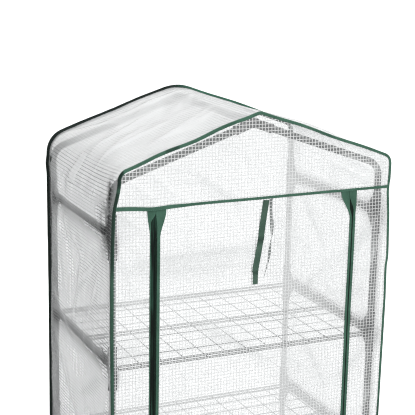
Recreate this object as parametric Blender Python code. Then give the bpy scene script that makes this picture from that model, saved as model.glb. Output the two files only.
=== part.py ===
"""Small tiered greenhouse: a plug-together tube frame with wire shelves under a
reinforced film cover that has a zipped door.

Metres, +Z up, +X along the front (seen from the front: to the right), the door
faces -Y.  The origin is the middle of the footprint, on the ground.

Shapes are written as functions that add geometry to a bmesh; piece() and
joined() turn them into named objects.
"""
import math

import bmesh
import bpy
from mathutils import Matrix, Vector

X_AXIS = (1, 0, 0)
Y_AXIS = (0, 1, 0)
SIDES = (("left", -1), ("right", 1))        # name and sign of X
ENDS = (("front", -1), ("back", 1))         # name and sign of Y

# ------------------------------------------------------------ main dimensions
CY = 0.0035             # middle of the cover in Y; the pull tabs stand out in front
HALF_W = 0.345          # film, outer face of the sides
HALF_D = 0.2425         # film, outer face of front and back
FRONT_Y = CY - HALF_D
BACK_Y = CY + HALF_D
EAVE_Z = 1.140          # ideal corner of side and roof
APEX_Z = 1.260          # ideal ridge line
SKIRT_Z = 0.012         # lower edge of the cover
EAVE_R = 0.022          # rounding of the film at the eaves
RIDGE_R = 0.010         # rounding of the film at the ridge
EAVE_STEPS = 7          # segments of each eave rounding
RIDGE_STEPS = 3         # segments of each half of the ridge rounding
FILM_T = 0.0004         # film thickness
GAP = 0.0003            # clearance between neighbouring pieces

SLOPE = math.atan2(APEX_Z - EAVE_Z, HALF_W)
EAVE_TURN = math.pi / 2 - SLOPE             # angle between side and roof slope

# ------------------------------------------------------------ frame dimensions
TUBE_R = 0.008          # frame tube, outer radius
TUBE_WALL = 0.001
HOLE_R = TUBE_R + GAP   # holes that take a tube
FACETS = 12             # facets of round pieces
END_PLAY = 0.0005       # tube end to socket floor
CUT_OVER = 0.01         # cutters run this far past an open end
POST_X = HALF_W - 0.011
POST_Y = {-1: FRONT_Y + 0.034,              # the cover hangs loose in front of these
          1: BACK_Y - 0.018}
LEVELS = (0.100, 0.400, 0.700, 1.000)       # heights of the side rails
LEVEL_NAMES = ("base", "lower", "middle", "upper")

SLEEVE_R = 0.0104       # connector sleeve round the posts
SLEEVE_UP = 0.045       # sleeve above and below the rail axis
SLEEVE_DOWN = 0.055
FLOOR_UP = 0.012        # floors of the blind sockets, from the rail axis
FLOOR_DOWN = 0.020
SOCKET_R = 0.0098       # connector socket round the rails
SOCKET_LEN = 0.045
SOCKET_FLOOR = 0.0175
WEB_T = 0.0040          # tapered web above and below the socket
WEB_IN = 0.0065         # its near and far edges, from the post axis
WEB_OUT = 0.043
WEB_UP = 0.041          # its reach up and down at the near edge
WEB_DOWN = 0.050
WEB_TIP = 0.006         # its reach up and down at the far edge
FOOT_R = 0.0125
FOOT_H = 0.006
FOOT_TAPER = 0.004      # height of the cone from foot to sleeve

ROOF_INSET = 0.028      # roof tube axis to film
BEND_R = 0.040          # bend of the roof tubes, on the tube axis
BEND_STEPS = 8
RIDGE_ARM_R = 0.0115    # ridge connector: arm along the ridge
SLOPE_ARM_R = RIDGE_ARM_R + 0.0004          # and the arms down the slopes
RIDGE_SOCKET = 0.048
RIDGE_FLOOR = 0.020
RIDGE_STUB = 0.013      # ridge arm past the roof tubes, away from the ridge tube
TUBE_APEX_Z = APEX_Z - ROOF_INSET / math.cos(SLOPE)
TUBE_EAVE_Z = TUBE_APEX_Z - POST_X * math.tan(SLOPE)

for old in list(bpy.data.objects):
    bpy.data.objects.remove(old, do_unlink=True)


# ------------------------------------------------------------ materials
FINISHES = {
    "tube": dict(colour=(0.030, 0.038, 0.034), rough=0.35, metal=0.6),
    "connector": dict(colour=(0.012, 0.012, 0.013), rough=0.30),
    "wire": dict(colour=(0.050, 0.058, 0.054), rough=0.40, metal=0.5),
    "film": dict(colour=(0.88, 0.90, 0.90), rough=0.22, alpha=0.45),
    "binding": dict(colour=(0.045, 0.155, 0.105), rough=0.75),
    "back_binding": dict(colour=(0.030, 0.070, 0.055), rough=0.75),
    "zip": dict(colour=(0.020, 0.025, 0.023), rough=0.60),
    "slider": dict(colour=(0.030, 0.030, 0.032), rough=0.35, metal=0.7),
    "strap": dict(colour=(0.075, 0.150, 0.110), rough=0.80),
}


def material(name, colour, rough, metal=0.0, alpha=1.0):
    mat = bpy.data.materials.new(name)
    mat.use_nodes = True
    inputs = mat.node_tree.nodes["Principled BSDF"].inputs
    inputs["Base Color"].default_value = (*colour, 1.0)
    inputs["Roughness"].default_value = rough
    inputs["Metallic"].default_value = metal
    inputs["Alpha"].default_value = alpha
    mat.diffuse_color = (*colour, alpha)
    return mat


# ------------------------------------------------------------ objects
def new_object(name, build):
    """Object from a shape function that works in world coordinates."""
    bm = bmesh.new()
    build(bm)
    bmesh.ops.recalc_face_normals(bm, faces=bm.faces)
    mesh = bpy.data.meshes.new(name)
    bm.to_mesh(mesh)
    bm.free()
    obj = bpy.data.objects.new(name, mesh)
    bpy.context.scene.collection.objects.link(obj)
    return obj


def piece(name, finish, build, smooth=True, origin=None):
    """Object with its own material, its origin moved to a given point if there is one."""
    obj = new_object(name, build)
    mesh = obj.data
    if origin is not None:
        mesh.transform(Matrix.Translation(-Vector(origin)))
        obj.location = origin
    mesh.materials.append(material(name, **FINISHES[finish]))
    if smooth:
        mesh.shade_smooth()
        mesh.set_sharp_from_angle(angle=math.radians(40))
    return obj


def joined(name, finish, base, add, cut=()):
    """One body: base with the shapes in add welded on and those in cut taken out."""
    obj = piece(name, finish, base)
    steps = [(build, "UNION") for build in add] + [(build, "DIFFERENCE") for build in cut]
    for k, (build, operation) in enumerate(steps):
        tool = new_object(f"{name}_tool{k}", build)
        tool.hide_render = True
        tool.display_type = "WIRE"
        modifier = obj.modifiers.new(f"{operation.title()}{k}", "BOOLEAN")
        modifier.operation = operation
        modifier.solver = "EXACT"
        modifier.object = tool


# ------------------------------------------------------------ shapes
def box(bm, low, high):
    low, high = Vector(low), Vector(high)
    scale = Matrix.Diagonal((*(high - low), 1.0))
    cube = bmesh.ops.create_cube(bm, size=1.0)
    bmesh.ops.transform(bm, matrix=Matrix.Translation((low + high) / 2) @ scale,
                        verts=cube["verts"])


def prism(bm, start_points, end_points):
    """Flat outline joined to its copy on the other face."""
    start = [bm.verts.new(p) for p in start_points]
    end = [bm.verts.new(p) for p in end_points]
    bm.faces.new(start)
    bm.faces.new(list(reversed(end)))
    for i in range(len(start)):
        j = (i + 1) % len(start)
        bm.faces.new((start[i], end[i], end[j], start[j]))


def ring(bm, centre, across, partner, radius):
    """Circle of vertices in the plane of the unit vectors across and partner."""
    angles = [2 * math.pi * i / FACETS for i in range(FACETS)]
    return [bm.verts.new(centre + across * (radius * math.cos(a))
                         + partner * (radius * math.sin(a))) for a in angles]


def bridge(bm, start, end):
    for i in range(FACETS):
        j = (i + 1) % FACETS
        bm.faces.new((start[i], start[j], end[j], end[i]))


def skin(bm, rings):
    for start, end in zip(rings, rings[1:]):
        bridge(bm, start, end)


def path_frames(points, across):
    """Each point of a path with two vectors across it: the given one and its partner."""
    points = [Vector(p) for p in points]
    across = Vector(across)
    steps = [(b - a).normalized() for a, b in zip(points, points[1:])]
    tangents = [steps[0]]
    tangents += [(before + after).normalized() for before, after in zip(steps, steps[1:])]
    tangents.append(steps[-1])
    return [(p, across, t.cross(across).normalized()) for p, t in zip(points, tangents)]


def tube(bm, points, across, outer_r, inner_r=None):
    """Tube along a path, open right through; without inner_r a solid bar."""
    frames = path_frames(points, across)
    outer = [ring(bm, *frame, outer_r) for frame in frames]
    skin(bm, outer)
    if inner_r is None:
        bm.faces.new(outer[0])
        bm.faces.new(outer[-1])
        return
    inner = [ring(bm, *frame, inner_r) for frame in frames]
    skin(bm, inner)
    bridge(bm, outer[0], inner[0])
    bridge(bm, outer[-1], inner[-1])


def rod(start, end, radius, across=X_AXIS):
    """Shape function of a straight solid bar."""
    return lambda bm: tube(bm, [start, end], across, radius)


def frame_tube(name, points, across=X_AXIS):
    piece(name, "tube", lambda bm: tube(bm, points, across, TUBE_R, TUBE_R - TUBE_WALL))


def arc(centre_x, centre_z, radius, start, sweep, steps):
    """Points in X and Z on an arc, both ends included."""
    angles = [start + sweep * i / steps for i in range(steps + 1)]
    return [(centre_x + radius * math.cos(a), centre_z + radius * math.sin(a)) for a in angles]


# ------------------------------------------------------------ corner connectors
def connector(name, x, y, inward, level, is_foot):
    """Sleeve on a post with a socket for a side rail; inward is the sign of Y to the rail."""
    low = 0.0 if is_foot else level - SLEEVE_DOWN
    high = level + SLEEVE_UP

    def along_post(z):
        return x, y, z

    def along_rail(distance):
        return x, y + inward * distance, level

    def foot_body(bm):
        stations = ((0.0, FOOT_R), (FOOT_H, FOOT_R),
                    (FOOT_H + FOOT_TAPER, SLEEVE_R), (high, SLEEVE_R))
        rings = [ring(bm, Vector(along_post(z)), Vector(X_AXIS), Vector(Y_AXIS), radius)
                 for z, radius in stations]
        skin(bm, rings)
        bm.faces.new(rings[0])
        bm.faces.new(rings[-1])

    def web(bm):
        near, far = y + inward * WEB_IN, y + inward * WEB_OUT
        down = WEB_UP if is_foot else WEB_DOWN
        points = [(near, level + WEB_UP), (far, level + WEB_TIP),
                  (far, level - WEB_TIP), (near, level - down)]
        prism(bm, [(x - WEB_T / 2, *p) for p in points], [(x + WEB_T / 2, *p) for p in points])

    body = foot_body if is_foot else rod(along_post(low), along_post(high), SLEEVE_R)
    socket = rod(along_rail(0.0), along_rail(SOCKET_LEN), SOCKET_R)
    holes = [rod(along_rail(SOCKET_FLOOR), along_rail(SOCKET_LEN + CUT_OVER), HOLE_R),
             rod(along_post(level + FLOOR_UP), along_post(high + CUT_OVER), HOLE_R)]
    if not is_foot:
        holes.append(rod(along_post(low - CUT_OVER), along_post(level - FLOOR_DOWN), HOLE_R))
    joined(name, "connector", body, [web, socket], holes)


# ------------------------------------------------------------ posts and side rails
def corner_post(place, x, y):
    """Connectors at all levels of one corner and the three tubes between them."""
    inward = 1 if y == POST_Y[-1] else -1
    for level_name, level in zip(LEVEL_NAMES, LEVELS):
        connector(f"connector_{level_name}_{place}", x, y, inward, level,
                  is_foot=(level == LEVELS[0]))
    for level_name, below, above in zip(LEVEL_NAMES[1:], LEVELS, LEVELS[1:]):
        frame_tube(f"post_{level_name}_{place}", [(x, y, below + FLOOR_UP + END_PLAY),
                                                  (x, y, above - FLOOR_DOWN - END_PLAY)])


def lengthways_tube(name, x, z, inset):
    """Tube from front to back, its ends inset from the post axes."""
    frame_tube(name, [(x, POST_Y[-1] + inset, z), (x, POST_Y[1] - inset, z)])


for end, y_sign in ENDS:
    for side, x_sign in SIDES:
        corner_post(f"{end}_{side}", POST_X * x_sign, POST_Y[y_sign])

for side, x_sign in SIDES:
    for level_name, level in zip(LEVEL_NAMES, LEVELS):
        lengthways_tube(f"side_rail_{level_name}_{side}", POST_X * x_sign, level,
                        SOCKET_FLOOR + END_PLAY)


# ------------------------------------------------------------ gable frames and ridge
def slope_point(x_sign, y, distance):
    """Point on a roof tube axis, measured down the slope from the ridge."""
    return (x_sign * distance * math.cos(SLOPE), y,
            TUBE_APEX_Z - distance * math.sin(SLOPE))


def roof_tube(name, x_sign, y):
    """Tube from the uppermost connector round the eave to the ridge connector."""
    bend_z = TUBE_EAVE_Z - BEND_R * math.tan(EAVE_TURN / 2)
    section = [(POST_X, LEVELS[-1] + FLOOR_UP + END_PLAY)]
    section += arc(POST_X - BEND_R, bend_z, BEND_R, 0.0, EAVE_TURN, BEND_STEPS)
    points = [(x * x_sign, y, z) for x, z in section]
    points.append(slope_point(x_sign, y, RIDGE_FLOOR + END_PLAY))
    frame_tube(name, points, across=Y_AXIS)


def ridge_connector(name, y, inward):
    """Three arms: one along the ridge, one down each slope."""
    def slope_arm(x_sign, start, end, radius):
        return rod(slope_point(x_sign, y, start), slope_point(x_sign, y, end), radius, Y_AXIS)

    def ridge_arm(start, end, radius):
        return rod((0, y + inward * start, TUBE_APEX_Z), (0, y + inward * end, TUBE_APEX_Z),
                   radius)

    hole = (RIDGE_FLOOR, RIDGE_SOCKET + CUT_OVER, HOLE_R)
    joined(name, "connector", ridge_arm(-RIDGE_STUB, RIDGE_SOCKET, RIDGE_ARM_R),
           add=[slope_arm(x_sign, 0.0, RIDGE_SOCKET, SLOPE_ARM_R) for x_sign in (-1, 1)],
           cut=[slope_arm(-1, *hole), slope_arm(1, *hole), ridge_arm(*hole)])


for end, y_sign in ENDS:
    for side, x_sign in SIDES:
        roof_tube(f"roof_tube_{end}_{side}", x_sign, POST_Y[y_sign])
    ridge_connector("ridge_connector_" + end, POST_Y[y_sign], -y_sign)

lengthways_tube("ridge_tube", 0, TUBE_APEX_Z, RIDGE_FLOOR + END_PLAY)

# ------------------------------------------------------------ wire shelves
SHELF_BAR_Y = 0.2120    # front and back bars of a shelf
SHELF_BAR_W = 0.005
SHELF_HALF_X = 0.323    # the grid lies between the side rails
SHELF_HOOK_X = 0.338    # and hooks over them
WIRE = 0.003
CROSS_PITCH = 0.0535    # wires that run front to back
CROSS_MARGIN = 0.010    # least distance from the last of them to the rim wire
ROWS_PER_BAR = 4        # every fourth row in Y is a bar, the others are wires
HOOK_ROWS = (-2, 0, 2)  # rows that carry hooks, counted from the middle
# Cuts between the layers, from the rail axis.  The layers upwards: bars; bars and
# wires; bars and hook stems; hook stems; hooks.
SHELF_Z = (-0.0110, -0.0065, -0.0035, 0.0020, 0.0083, 0.0113)

# Faces of a grid cell: step to the neighbour, corners of the face
CELL_FACES = (
    ((-1, 0, 0), ((0, 0, 0), (0, 0, 1), (0, 1, 1), (0, 1, 0))),
    ((1, 0, 0), ((1, 0, 0), (1, 1, 0), (1, 1, 1), (1, 0, 1))),
    ((0, -1, 0), ((0, 0, 0), (1, 0, 0), (1, 0, 1), (0, 0, 1))),
    ((0, 1, 0), ((0, 1, 0), (0, 1, 1), (1, 1, 1), (1, 1, 0))),
    ((0, 0, -1), ((0, 0, 0), (0, 1, 0), (1, 1, 0), (1, 0, 0))),
    ((0, 0, 1), ((0, 0, 1), (1, 0, 1), (1, 1, 1), (0, 1, 1))),
)


def shelf_columns():
    """Cuts in X and what lies between them: hook, rim, wire or open."""
    rim_x = SHELF_HALF_X - WIRE / 2
    count = int((rim_x - CROSS_MARGIN) / CROSS_PITCH)
    wires = [(i * CROSS_PITCH, "wire") for i in range(-count, count + 1)]
    cuts, kinds = [-SHELF_HOOK_X], ["hook"]
    for x, kind in [(-rim_x, "rim")] + wires + [(rim_x, "rim")]:
        cuts += [x - WIRE / 2, x + WIRE / 2]
        kinds += [kind, "open"]
    kinds[-1] = "hook"
    cuts.append(SHELF_HOOK_X)
    return cuts, kinds


def shelf_rows():
    """Cuts in Y and what lies between them: (bar, wire or open; has a hook)."""
    cuts, kinds = [], []
    for row in range(-ROWS_PER_BAR, ROWS_PER_BAR + 1):
        y = row * (SHELF_BAR_Y / ROWS_PER_BAR)
        is_bar = row % ROWS_PER_BAR == 0
        half = (SHELF_BAR_W if is_bar else WIRE) / 2
        cuts += [CY + y - half, CY + y + half]
        kinds += [("bar" if is_bar else "wire", row in HOOK_ROWS), ("open", False)]
    return cuts, kinds[:-1]


def cell_filled(column, row, layer):
    row_kind, hooked = row
    in_grid = column != "hook"
    is_bar = in_grid and row_kind == "bar"
    is_stem = column == "rim" and hooked
    return (is_bar,
            in_grid and (row_kind != "open" or column in ("wire", "rim")),
            is_bar or is_stem,
            is_stem,
            column in ("rim", "hook") and hooked)[layer]


def shelf(name, level):
    """A welded grid with three deep bars; short hooks carry it on the side rails."""
    x_cuts, columns = shelf_columns()
    y_cuts, rows = shelf_rows()
    z_cuts = [level + z for z in SHELF_Z]
    filled = {(i, j, k)
              for i, column in enumerate(columns)
              for j, row in enumerate(rows)
              for k in range(len(z_cuts) - 1)
              if cell_filled(column, row, k)}

    def grid(bm):
        verts = {}

        def vertex(i, j, k):
            if (i, j, k) not in verts:
                verts[i, j, k] = bm.verts.new((x_cuts[i], y_cuts[j], z_cuts[k]))
            return verts[i, j, k]

        for i, j, k in sorted(filled):
            corners = {(a, b, c): vertex(i + a, j + b, k + c)
                       for a in (0, 1) for b in (0, 1) for c in (0, 1)}
            for (step_x, step_y, step_z), face in CELL_FACES:
                if (i + step_x, j + step_y, k + step_z) not in filled:
                    bm.faces.new([corners[corner] for corner in face])

    piece(name, "wire", grid, smooth=False, origin=(0.0, CY, level))


for level_name, level in zip(LEVEL_NAMES[1:], LEVELS):
    shelf("shelf_" + level_name, level)

# ------------------------------------------------------------ cover dimensions
BIND_W = 0.009          # width of the binding tape on each side of an edge
BIND_T = 0.0012
HEM_Z = 1.067           # middle of the horizontal hem binding
HEM_H = 0.009
HEM_END = 0.004         # hem end to the outer face of the side
HEM_PROUD = 0.0006      # hem in front of the edge binding
HEM_SUNK = 0.0001       # back of the hem to the back of the binding's front leg

ZIP_X = 0.248           # middle of each zip
ZIP_HALF = 0.009
ZIP_TOP = 1.0605
ZIP_FRONT = 0.0008      # zip in front of and behind the film's front face
ZIP_BEHIND = 0.0012
DOOR_HALF = ZIP_X - ZIP_HALF - GAP
DOOR_BOTTOM = 0.020
DOOR_ORIGIN = (0.0, FRONT_Y - 0.0027, ZIP_TOP + 0.0010)
STRIP_IN = ZIP_X + ZIP_HALF + GAP           # inner edge of the strips beside the zips


# ------------------------------------------------------------ film cover
def outline(offset=0.0):
    """The cover's section in X and Z, left foot to right foot, moved outwards by offset."""
    right = arc(0.0, APEX_Z - RIDGE_R / math.cos(SLOPE), RIDGE_R + offset,
                math.pi / 2, -SLOPE, RIDGE_STEPS)
    right += arc(HALF_W - EAVE_R, EAVE_Z - EAVE_R * math.tan(EAVE_TURN / 2), EAVE_R + offset,
                 EAVE_TURN, -EAVE_TURN, EAVE_STEPS)
    right.append((HALF_W + offset, SKIRT_Z))
    left = [(-x, z) for x, z in reversed(right[1:])]
    return left + right


def wrap(bm, section):
    """Closed section of (offset, y) points run along the outline from foot to foot."""
    rows = [[bm.verts.new((x, y, z)) for x, z in outline(offset)] for offset, y in section]
    for start, end in zip(rows, rows[1:] + rows[:1]):
        for i in range(len(start) - 1):
            bm.faces.new((start[i], start[i + 1], end[i + 1], end[i]))
    for i in (0, -1):
        bm.faces.new([row[i] for row in rows])


def film_panel(name, points, front_y):
    """Flat film with an outline in X and Z."""
    piece(name, "film",
          lambda bm: prism(bm, [(x, front_y, z) for x, z in points],
                           [(x, front_y + FILM_T, z) for x, z in points]),
          smooth=False)


def sides_and_roof(bm):
    front, back = FRONT_Y + FILM_T + GAP, BACK_Y - FILM_T - GAP
    wrap(bm, ((0.0, front), (0.0, back), (-FILM_T, back), (-FILM_T, front)))


def door(bm):
    box(bm, (-DOOR_HALF, FRONT_Y, DOOR_BOTTOM), (DOOR_HALF, FRONT_Y + FILM_T, ZIP_TOP))


END_OUTLINE = outline(-GAP)
DOORWAY = [(STRIP_IN, SKIRT_Z), (STRIP_IN, ZIP_TOP + GAP),
           (-STRIP_IN, ZIP_TOP + GAP), (-STRIP_IN, SKIRT_Z)]

piece("cover_sides_roof", "film", sides_and_roof)
film_panel("cover_back", END_OUTLINE, BACK_Y - FILM_T)
film_panel("cover_front", END_OUTLINE + DOORWAY, FRONT_Y)
piece("door_panel", "film", door, smooth=False, origin=DOOR_ORIGIN)


# ------------------------------------------------------------ bindings
def edge_binding(bm, y_sign):
    """Tape folded round the edge: one leg on the side and roof, one on the end panel."""
    inner = CY + y_sign * (HALF_D + GAP)
    outer = inner + y_sign * BIND_T
    leg_end = outer - y_sign * BIND_W
    wrap(bm, ((GAP + BIND_T, outer), (GAP + BIND_T, leg_end), (GAP, leg_end), (GAP, inner),
              (-BIND_W + BIND_T, inner), (-BIND_W + BIND_T, outer)))


def hem(bm):
    """Horizontal tape across the front above the door."""
    reach = HALF_W - HEM_END
    box(bm, (-reach, FRONT_Y - GAP - BIND_T - HEM_PROUD, HEM_Z - HEM_H / 2),
        (reach, FRONT_Y - GAP - HEM_SUNK, HEM_Z + HEM_H / 2))


joined("binding_front", "binding", lambda bm: edge_binding(bm, -1), [hem])
piece("binding_back", "back_binding", lambda bm: edge_binding(bm, 1), smooth=False)

# ------------------------------------------------------------ zips, sliders, pull tabs
SLIDER_W, SLIDER_D, SLIDER_H = 0.011, 0.0045, 0.022
SLIDER_Z = 0.042
SLIDER_BACK = FRONT_Y - 0.0012
SLIDER_BEVEL = 0.0009
TAB_W, TAB_T, TAB_H = 0.008, 0.0014, 0.030
TAB_GAP = 0.0010        # slider to tab
TAB_ORIGIN_Y = SLIDER_BACK - SLIDER_D - TAB_GAP - TAB_T / 2
TAB_ORIGIN_Z = SLIDER_Z + 0.005
TAB_TOP = TAB_ORIGIN_Z + 0.0009
TAB_CORNER = 0.0025     # rounding of the tab's corners, seen from the front


def zip_tape(name, x):
    piece(name, "zip",
          lambda bm: box(bm, (x - ZIP_HALF, FRONT_Y - ZIP_FRONT, SKIRT_Z),
                         (x + ZIP_HALF, FRONT_Y + ZIP_BEHIND, ZIP_TOP)),
          smooth=False)


def zip_slider(name, x):
    def build(bm):
        box(bm, (x - SLIDER_W / 2, SLIDER_BACK - SLIDER_D, SLIDER_Z - SLIDER_H / 2),
            (x + SLIDER_W / 2, SLIDER_BACK, SLIDER_Z + SLIDER_H / 2))
        bmesh.ops.bevel(bm, geom=list(bm.edges), offset=SLIDER_BEVEL, segments=2,
                        affect="EDGES")

    piece(name, "slider", build, origin=(x, SLIDER_BACK - SLIDER_D / 2, SLIDER_Z))


def zip_pull(name, x):
    def runs_through(edge):
        start, end = edge.verts
        return abs((start.co - end.co).y) > TAB_T * 0.9

    def build(bm):
        box(bm, (x - TAB_W / 2, TAB_ORIGIN_Y - TAB_T / 2, TAB_TOP - TAB_H),
            (x + TAB_W / 2, TAB_ORIGIN_Y + TAB_T / 2, TAB_TOP))
        bmesh.ops.bevel(bm, geom=[edge for edge in bm.edges if runs_through(edge)],
                        offset=TAB_CORNER, segments=3, affect="EDGES")

    piece(name, "slider", build, origin=(x, TAB_ORIGIN_Y, TAB_ORIGIN_Z))


for side, x_sign in SIDES:
    zip_tape("zip_" + side, ZIP_X * x_sign)
    zip_slider("zip_slider_" + side, ZIP_X * x_sign)
    zip_pull("zip_pull_" + side, ZIP_X * x_sign)

# ------------------------------------------------------------ tie straps
STRAP_HALF = 0.0075
STRAP_LEN = 0.195
STRAP_T = 0.0010


def tie_strap(name, x, y):
    """Flat strap hanging from the top of the door, its origin at the upper end."""
    piece(name, "strap",
          lambda bm: box(bm, (x - STRAP_HALF, y - STRAP_T / 2, ZIP_TOP - STRAP_LEN),
                         (x + STRAP_HALF, y + STRAP_T / 2, ZIP_TOP)),
          smooth=False, origin=(x, y, ZIP_TOP))


tie_strap("tie_strap_outer", x=0.010, y=FRONT_Y - 0.0036)
tie_strap("tie_strap_inner", x=0.040, y=FRONT_Y + 0.0030)
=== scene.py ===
"""Small tiered greenhouse: tube frame, wire shelves, reinforced film cover with bound
edges, a door between two zips and two tie straps.

Metres, standing on z = 0.  X runs left to right, the door faces -Y and the ridge runs
along Y.  Places come from the CAD frame; the shapes are built here as meshes.
"""
import math

import bmesh
import bpy
import numpy as np
from mathutils import Matrix, Vector


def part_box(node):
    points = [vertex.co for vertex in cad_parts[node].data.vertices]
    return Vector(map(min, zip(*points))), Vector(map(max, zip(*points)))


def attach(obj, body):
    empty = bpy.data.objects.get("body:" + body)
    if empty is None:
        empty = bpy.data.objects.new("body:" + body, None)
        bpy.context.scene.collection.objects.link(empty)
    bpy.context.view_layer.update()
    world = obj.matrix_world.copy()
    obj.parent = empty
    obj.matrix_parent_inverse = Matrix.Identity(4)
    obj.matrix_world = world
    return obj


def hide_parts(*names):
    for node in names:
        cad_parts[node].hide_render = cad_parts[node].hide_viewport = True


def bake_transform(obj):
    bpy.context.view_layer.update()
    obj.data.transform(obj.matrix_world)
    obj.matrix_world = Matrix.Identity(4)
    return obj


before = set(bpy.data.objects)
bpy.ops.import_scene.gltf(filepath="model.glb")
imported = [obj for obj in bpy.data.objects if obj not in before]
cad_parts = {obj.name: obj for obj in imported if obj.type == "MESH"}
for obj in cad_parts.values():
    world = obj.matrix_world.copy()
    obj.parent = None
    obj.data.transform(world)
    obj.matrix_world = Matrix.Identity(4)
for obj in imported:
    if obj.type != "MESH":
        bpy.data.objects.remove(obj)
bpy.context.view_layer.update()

scene = bpy.context.scene


# ------------------------------------------------------------ measures from the frame
def box_centre(node):
    low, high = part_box(node)
    return tuple((a + b) / 2 for a, b in zip(low, high))


LEVEL_NAMES = ("base", "lower", "middle", "upper")
SIDES = (("left", -1), ("right", 1))
# corner name, direction in X, direction in Y
CORNERS = (("front_left", -1, -1), ("front_right", 1, -1), ("back_left", -1, 1), ("back_right", 1, 1))

low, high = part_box("cover_sides_roof")
HALF_W, SKIRT_Z = high.x, low.z
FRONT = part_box("cover_front")[0].y
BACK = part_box("cover_back")[1].y
MID_Y = (FRONT + BACK) / 2
DEPTH = BACK - FRONT

APEX_Z, EAVE_Z = 1.260, 1.140           # ideal corners of the cover's section
SLOPE = math.atan2(APEX_Z - EAVE_Z, HALF_W)
TAN, COS, SIN = math.tan(SLOPE), math.cos(SLOPE), math.sin(SLOPE)
TURN = math.pi / 2 - SLOPE              # angle between wall and roof slope

low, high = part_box("post_upper_front_left")
TUBE_R = (high.x - low.x) / 2
TUBE_WALL = 0.001
POST_X = -(high.x + low.x) / 2
POST_FRONT = (high.y + low.y) / 2
POST_BACK = box_centre("post_upper_back_left")[1]
GABLES = (("front", POST_FRONT, -1), ("back", POST_BACK, 1))
LEVELS = [box_centre("side_rail_%s_left" % name)[2] for name in LEVEL_NAMES]
RIDGE_Z = box_centre("ridge_tube")[2]

low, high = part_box("connector_upper_front_left")
SLEEVE_R = (high.x - low.x) / 2
SLEEVE_UP, SLEEVE_DOWN = high.z - LEVELS[3], LEVELS[3] - low.z
SOCKET_REACH = high.y - POST_FRONT      # socket end from the post axis, inward
SOCKET_R = 0.0098
BORE = TUBE_R + 0.0003

DOOR_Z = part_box("door_panel")[0].z
HEM_Z = 1.067
MM = 0.001

X_AXIS, Z_AXIS = np.array([1.0, 0.0, 0.0]), np.array([0.0, 0.0, 1.0])
FRONTWARD = np.array([0.0, -1.0, 0.0])


# ------------------------------------------------------------ small maths
def ease(t):
    """Smooth step from 0 to 1 as t goes from 0 to 1."""
    t = np.clip(t, 0.0, 1.0)
    return t * t * (3 - 2 * t)


def bell(*terms):
    """1 at no offset, falling away; a term is (offset, half width[, power])."""
    return np.exp(-sum(np.abs(offset / width) ** (power[0] if power else 2)
                       for offset, width, *power in terms))


def smooth_max(a, b, blend):
    h = np.clip(0.5 + 0.5 * (b - a) / blend, 0, 1)
    return a * (1 - h) + b * h + blend * h * (1 - h) * 0.5


LATTICE = np.random.RandomState(7).rand(16, 64, 64) * 2 - 1


def value_noise(x, y, seed=0):
    """Smooth noise in -1..1 with unit cells."""
    table = LATTICE[seed % 16]
    x, y = np.asarray(x, float) + 13.7 * seed, np.asarray(y, float) + 5.3 * seed
    xi, yi = np.floor(x).astype(int), np.floor(y).astype(int)
    fx, fy = x - xi, y - yi
    fx, fy = fx * fx * (3 - 2 * fx), fy * fy * (3 - 2 * fy)
    a, b = table[xi % 64, yi % 64], table[(xi + 1) % 64, yi % 64]
    c, d = table[xi % 64, (yi + 1) % 64], table[(xi + 1) % 64, (yi + 1) % 64]
    return (a * (1 - fx) + b * fx) * (1 - fy) + (c * (1 - fx) + d * fx) * fy


def layered_noise(x, y, seed=0, octaves=4):
    total, amplitude = 0.0, 1.0
    for k in range(octaves):
        total = total + amplitude * value_noise(x * 2 ** k, y * 2 ** k, seed + k)
        amplitude *= 0.5
    return total


def ridged(x, y, seed=0):
    """Sharp crest lines on a smooth ground, for crumpled film, 0..1."""
    return (1 - np.abs(value_noise(x, y, seed))) ** 3


def add_folds(relief, marks, u, v, folds, tail=0.35, broad=False):
    """Adds folds (u0, v0, u1, v1, width, height) to the relief and its crease marks.

    Each is a crest with one softer flank, fading over `tail` at its ends."""
    for u0, v0, u1, v1, width, height in folds:
        du, dv = u1 - u0, v1 - v0
        length = math.hypot(du, dv)
        t = ((u - u0) * du + (v - v0) * dv) / length ** 2
        across = ((u - u0) * -dv + (v - v0) * du) / length
        ends = ease((t + tail) / (2 * tail)) * ease((1 + tail - t) / (2 * tail))
        flank = np.where(across > 0, width, width * 2.2)
        fold = height * ends * np.exp(-np.abs(across) / flank)
        relief = relief + fold
        # broad folds get marks in proportion to their height, painted light and shade along each soft
        # fold; others get crease marks
        marks = marks + (0.75 * np.abs(fold) / height if broad else np.abs(fold) / 0.003)
    return relief, marks


def points(x, y, z):
    """Stacks coordinates, single numbers or arrays, into points."""
    return np.stack(np.broadcast_arrays(x, y, z), -1)


def unit(vectors):
    return vectors / np.linalg.norm(vectors, axis=1)[:, None]


def lengths(path):
    """Distance run at each point of a path."""
    return np.concatenate([[0], np.cumsum(np.linalg.norm(path[1:] - path[:-1], axis=1))])


def tangents(path):
    return unit(np.gradient(path, axis=0))


# ------------------------------------------------------------ mesh building
def link_object(name, mesh):
    obj = bpy.data.objects.new(name, mesh)
    scene.collection.objects.link(obj)
    return obj


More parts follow.
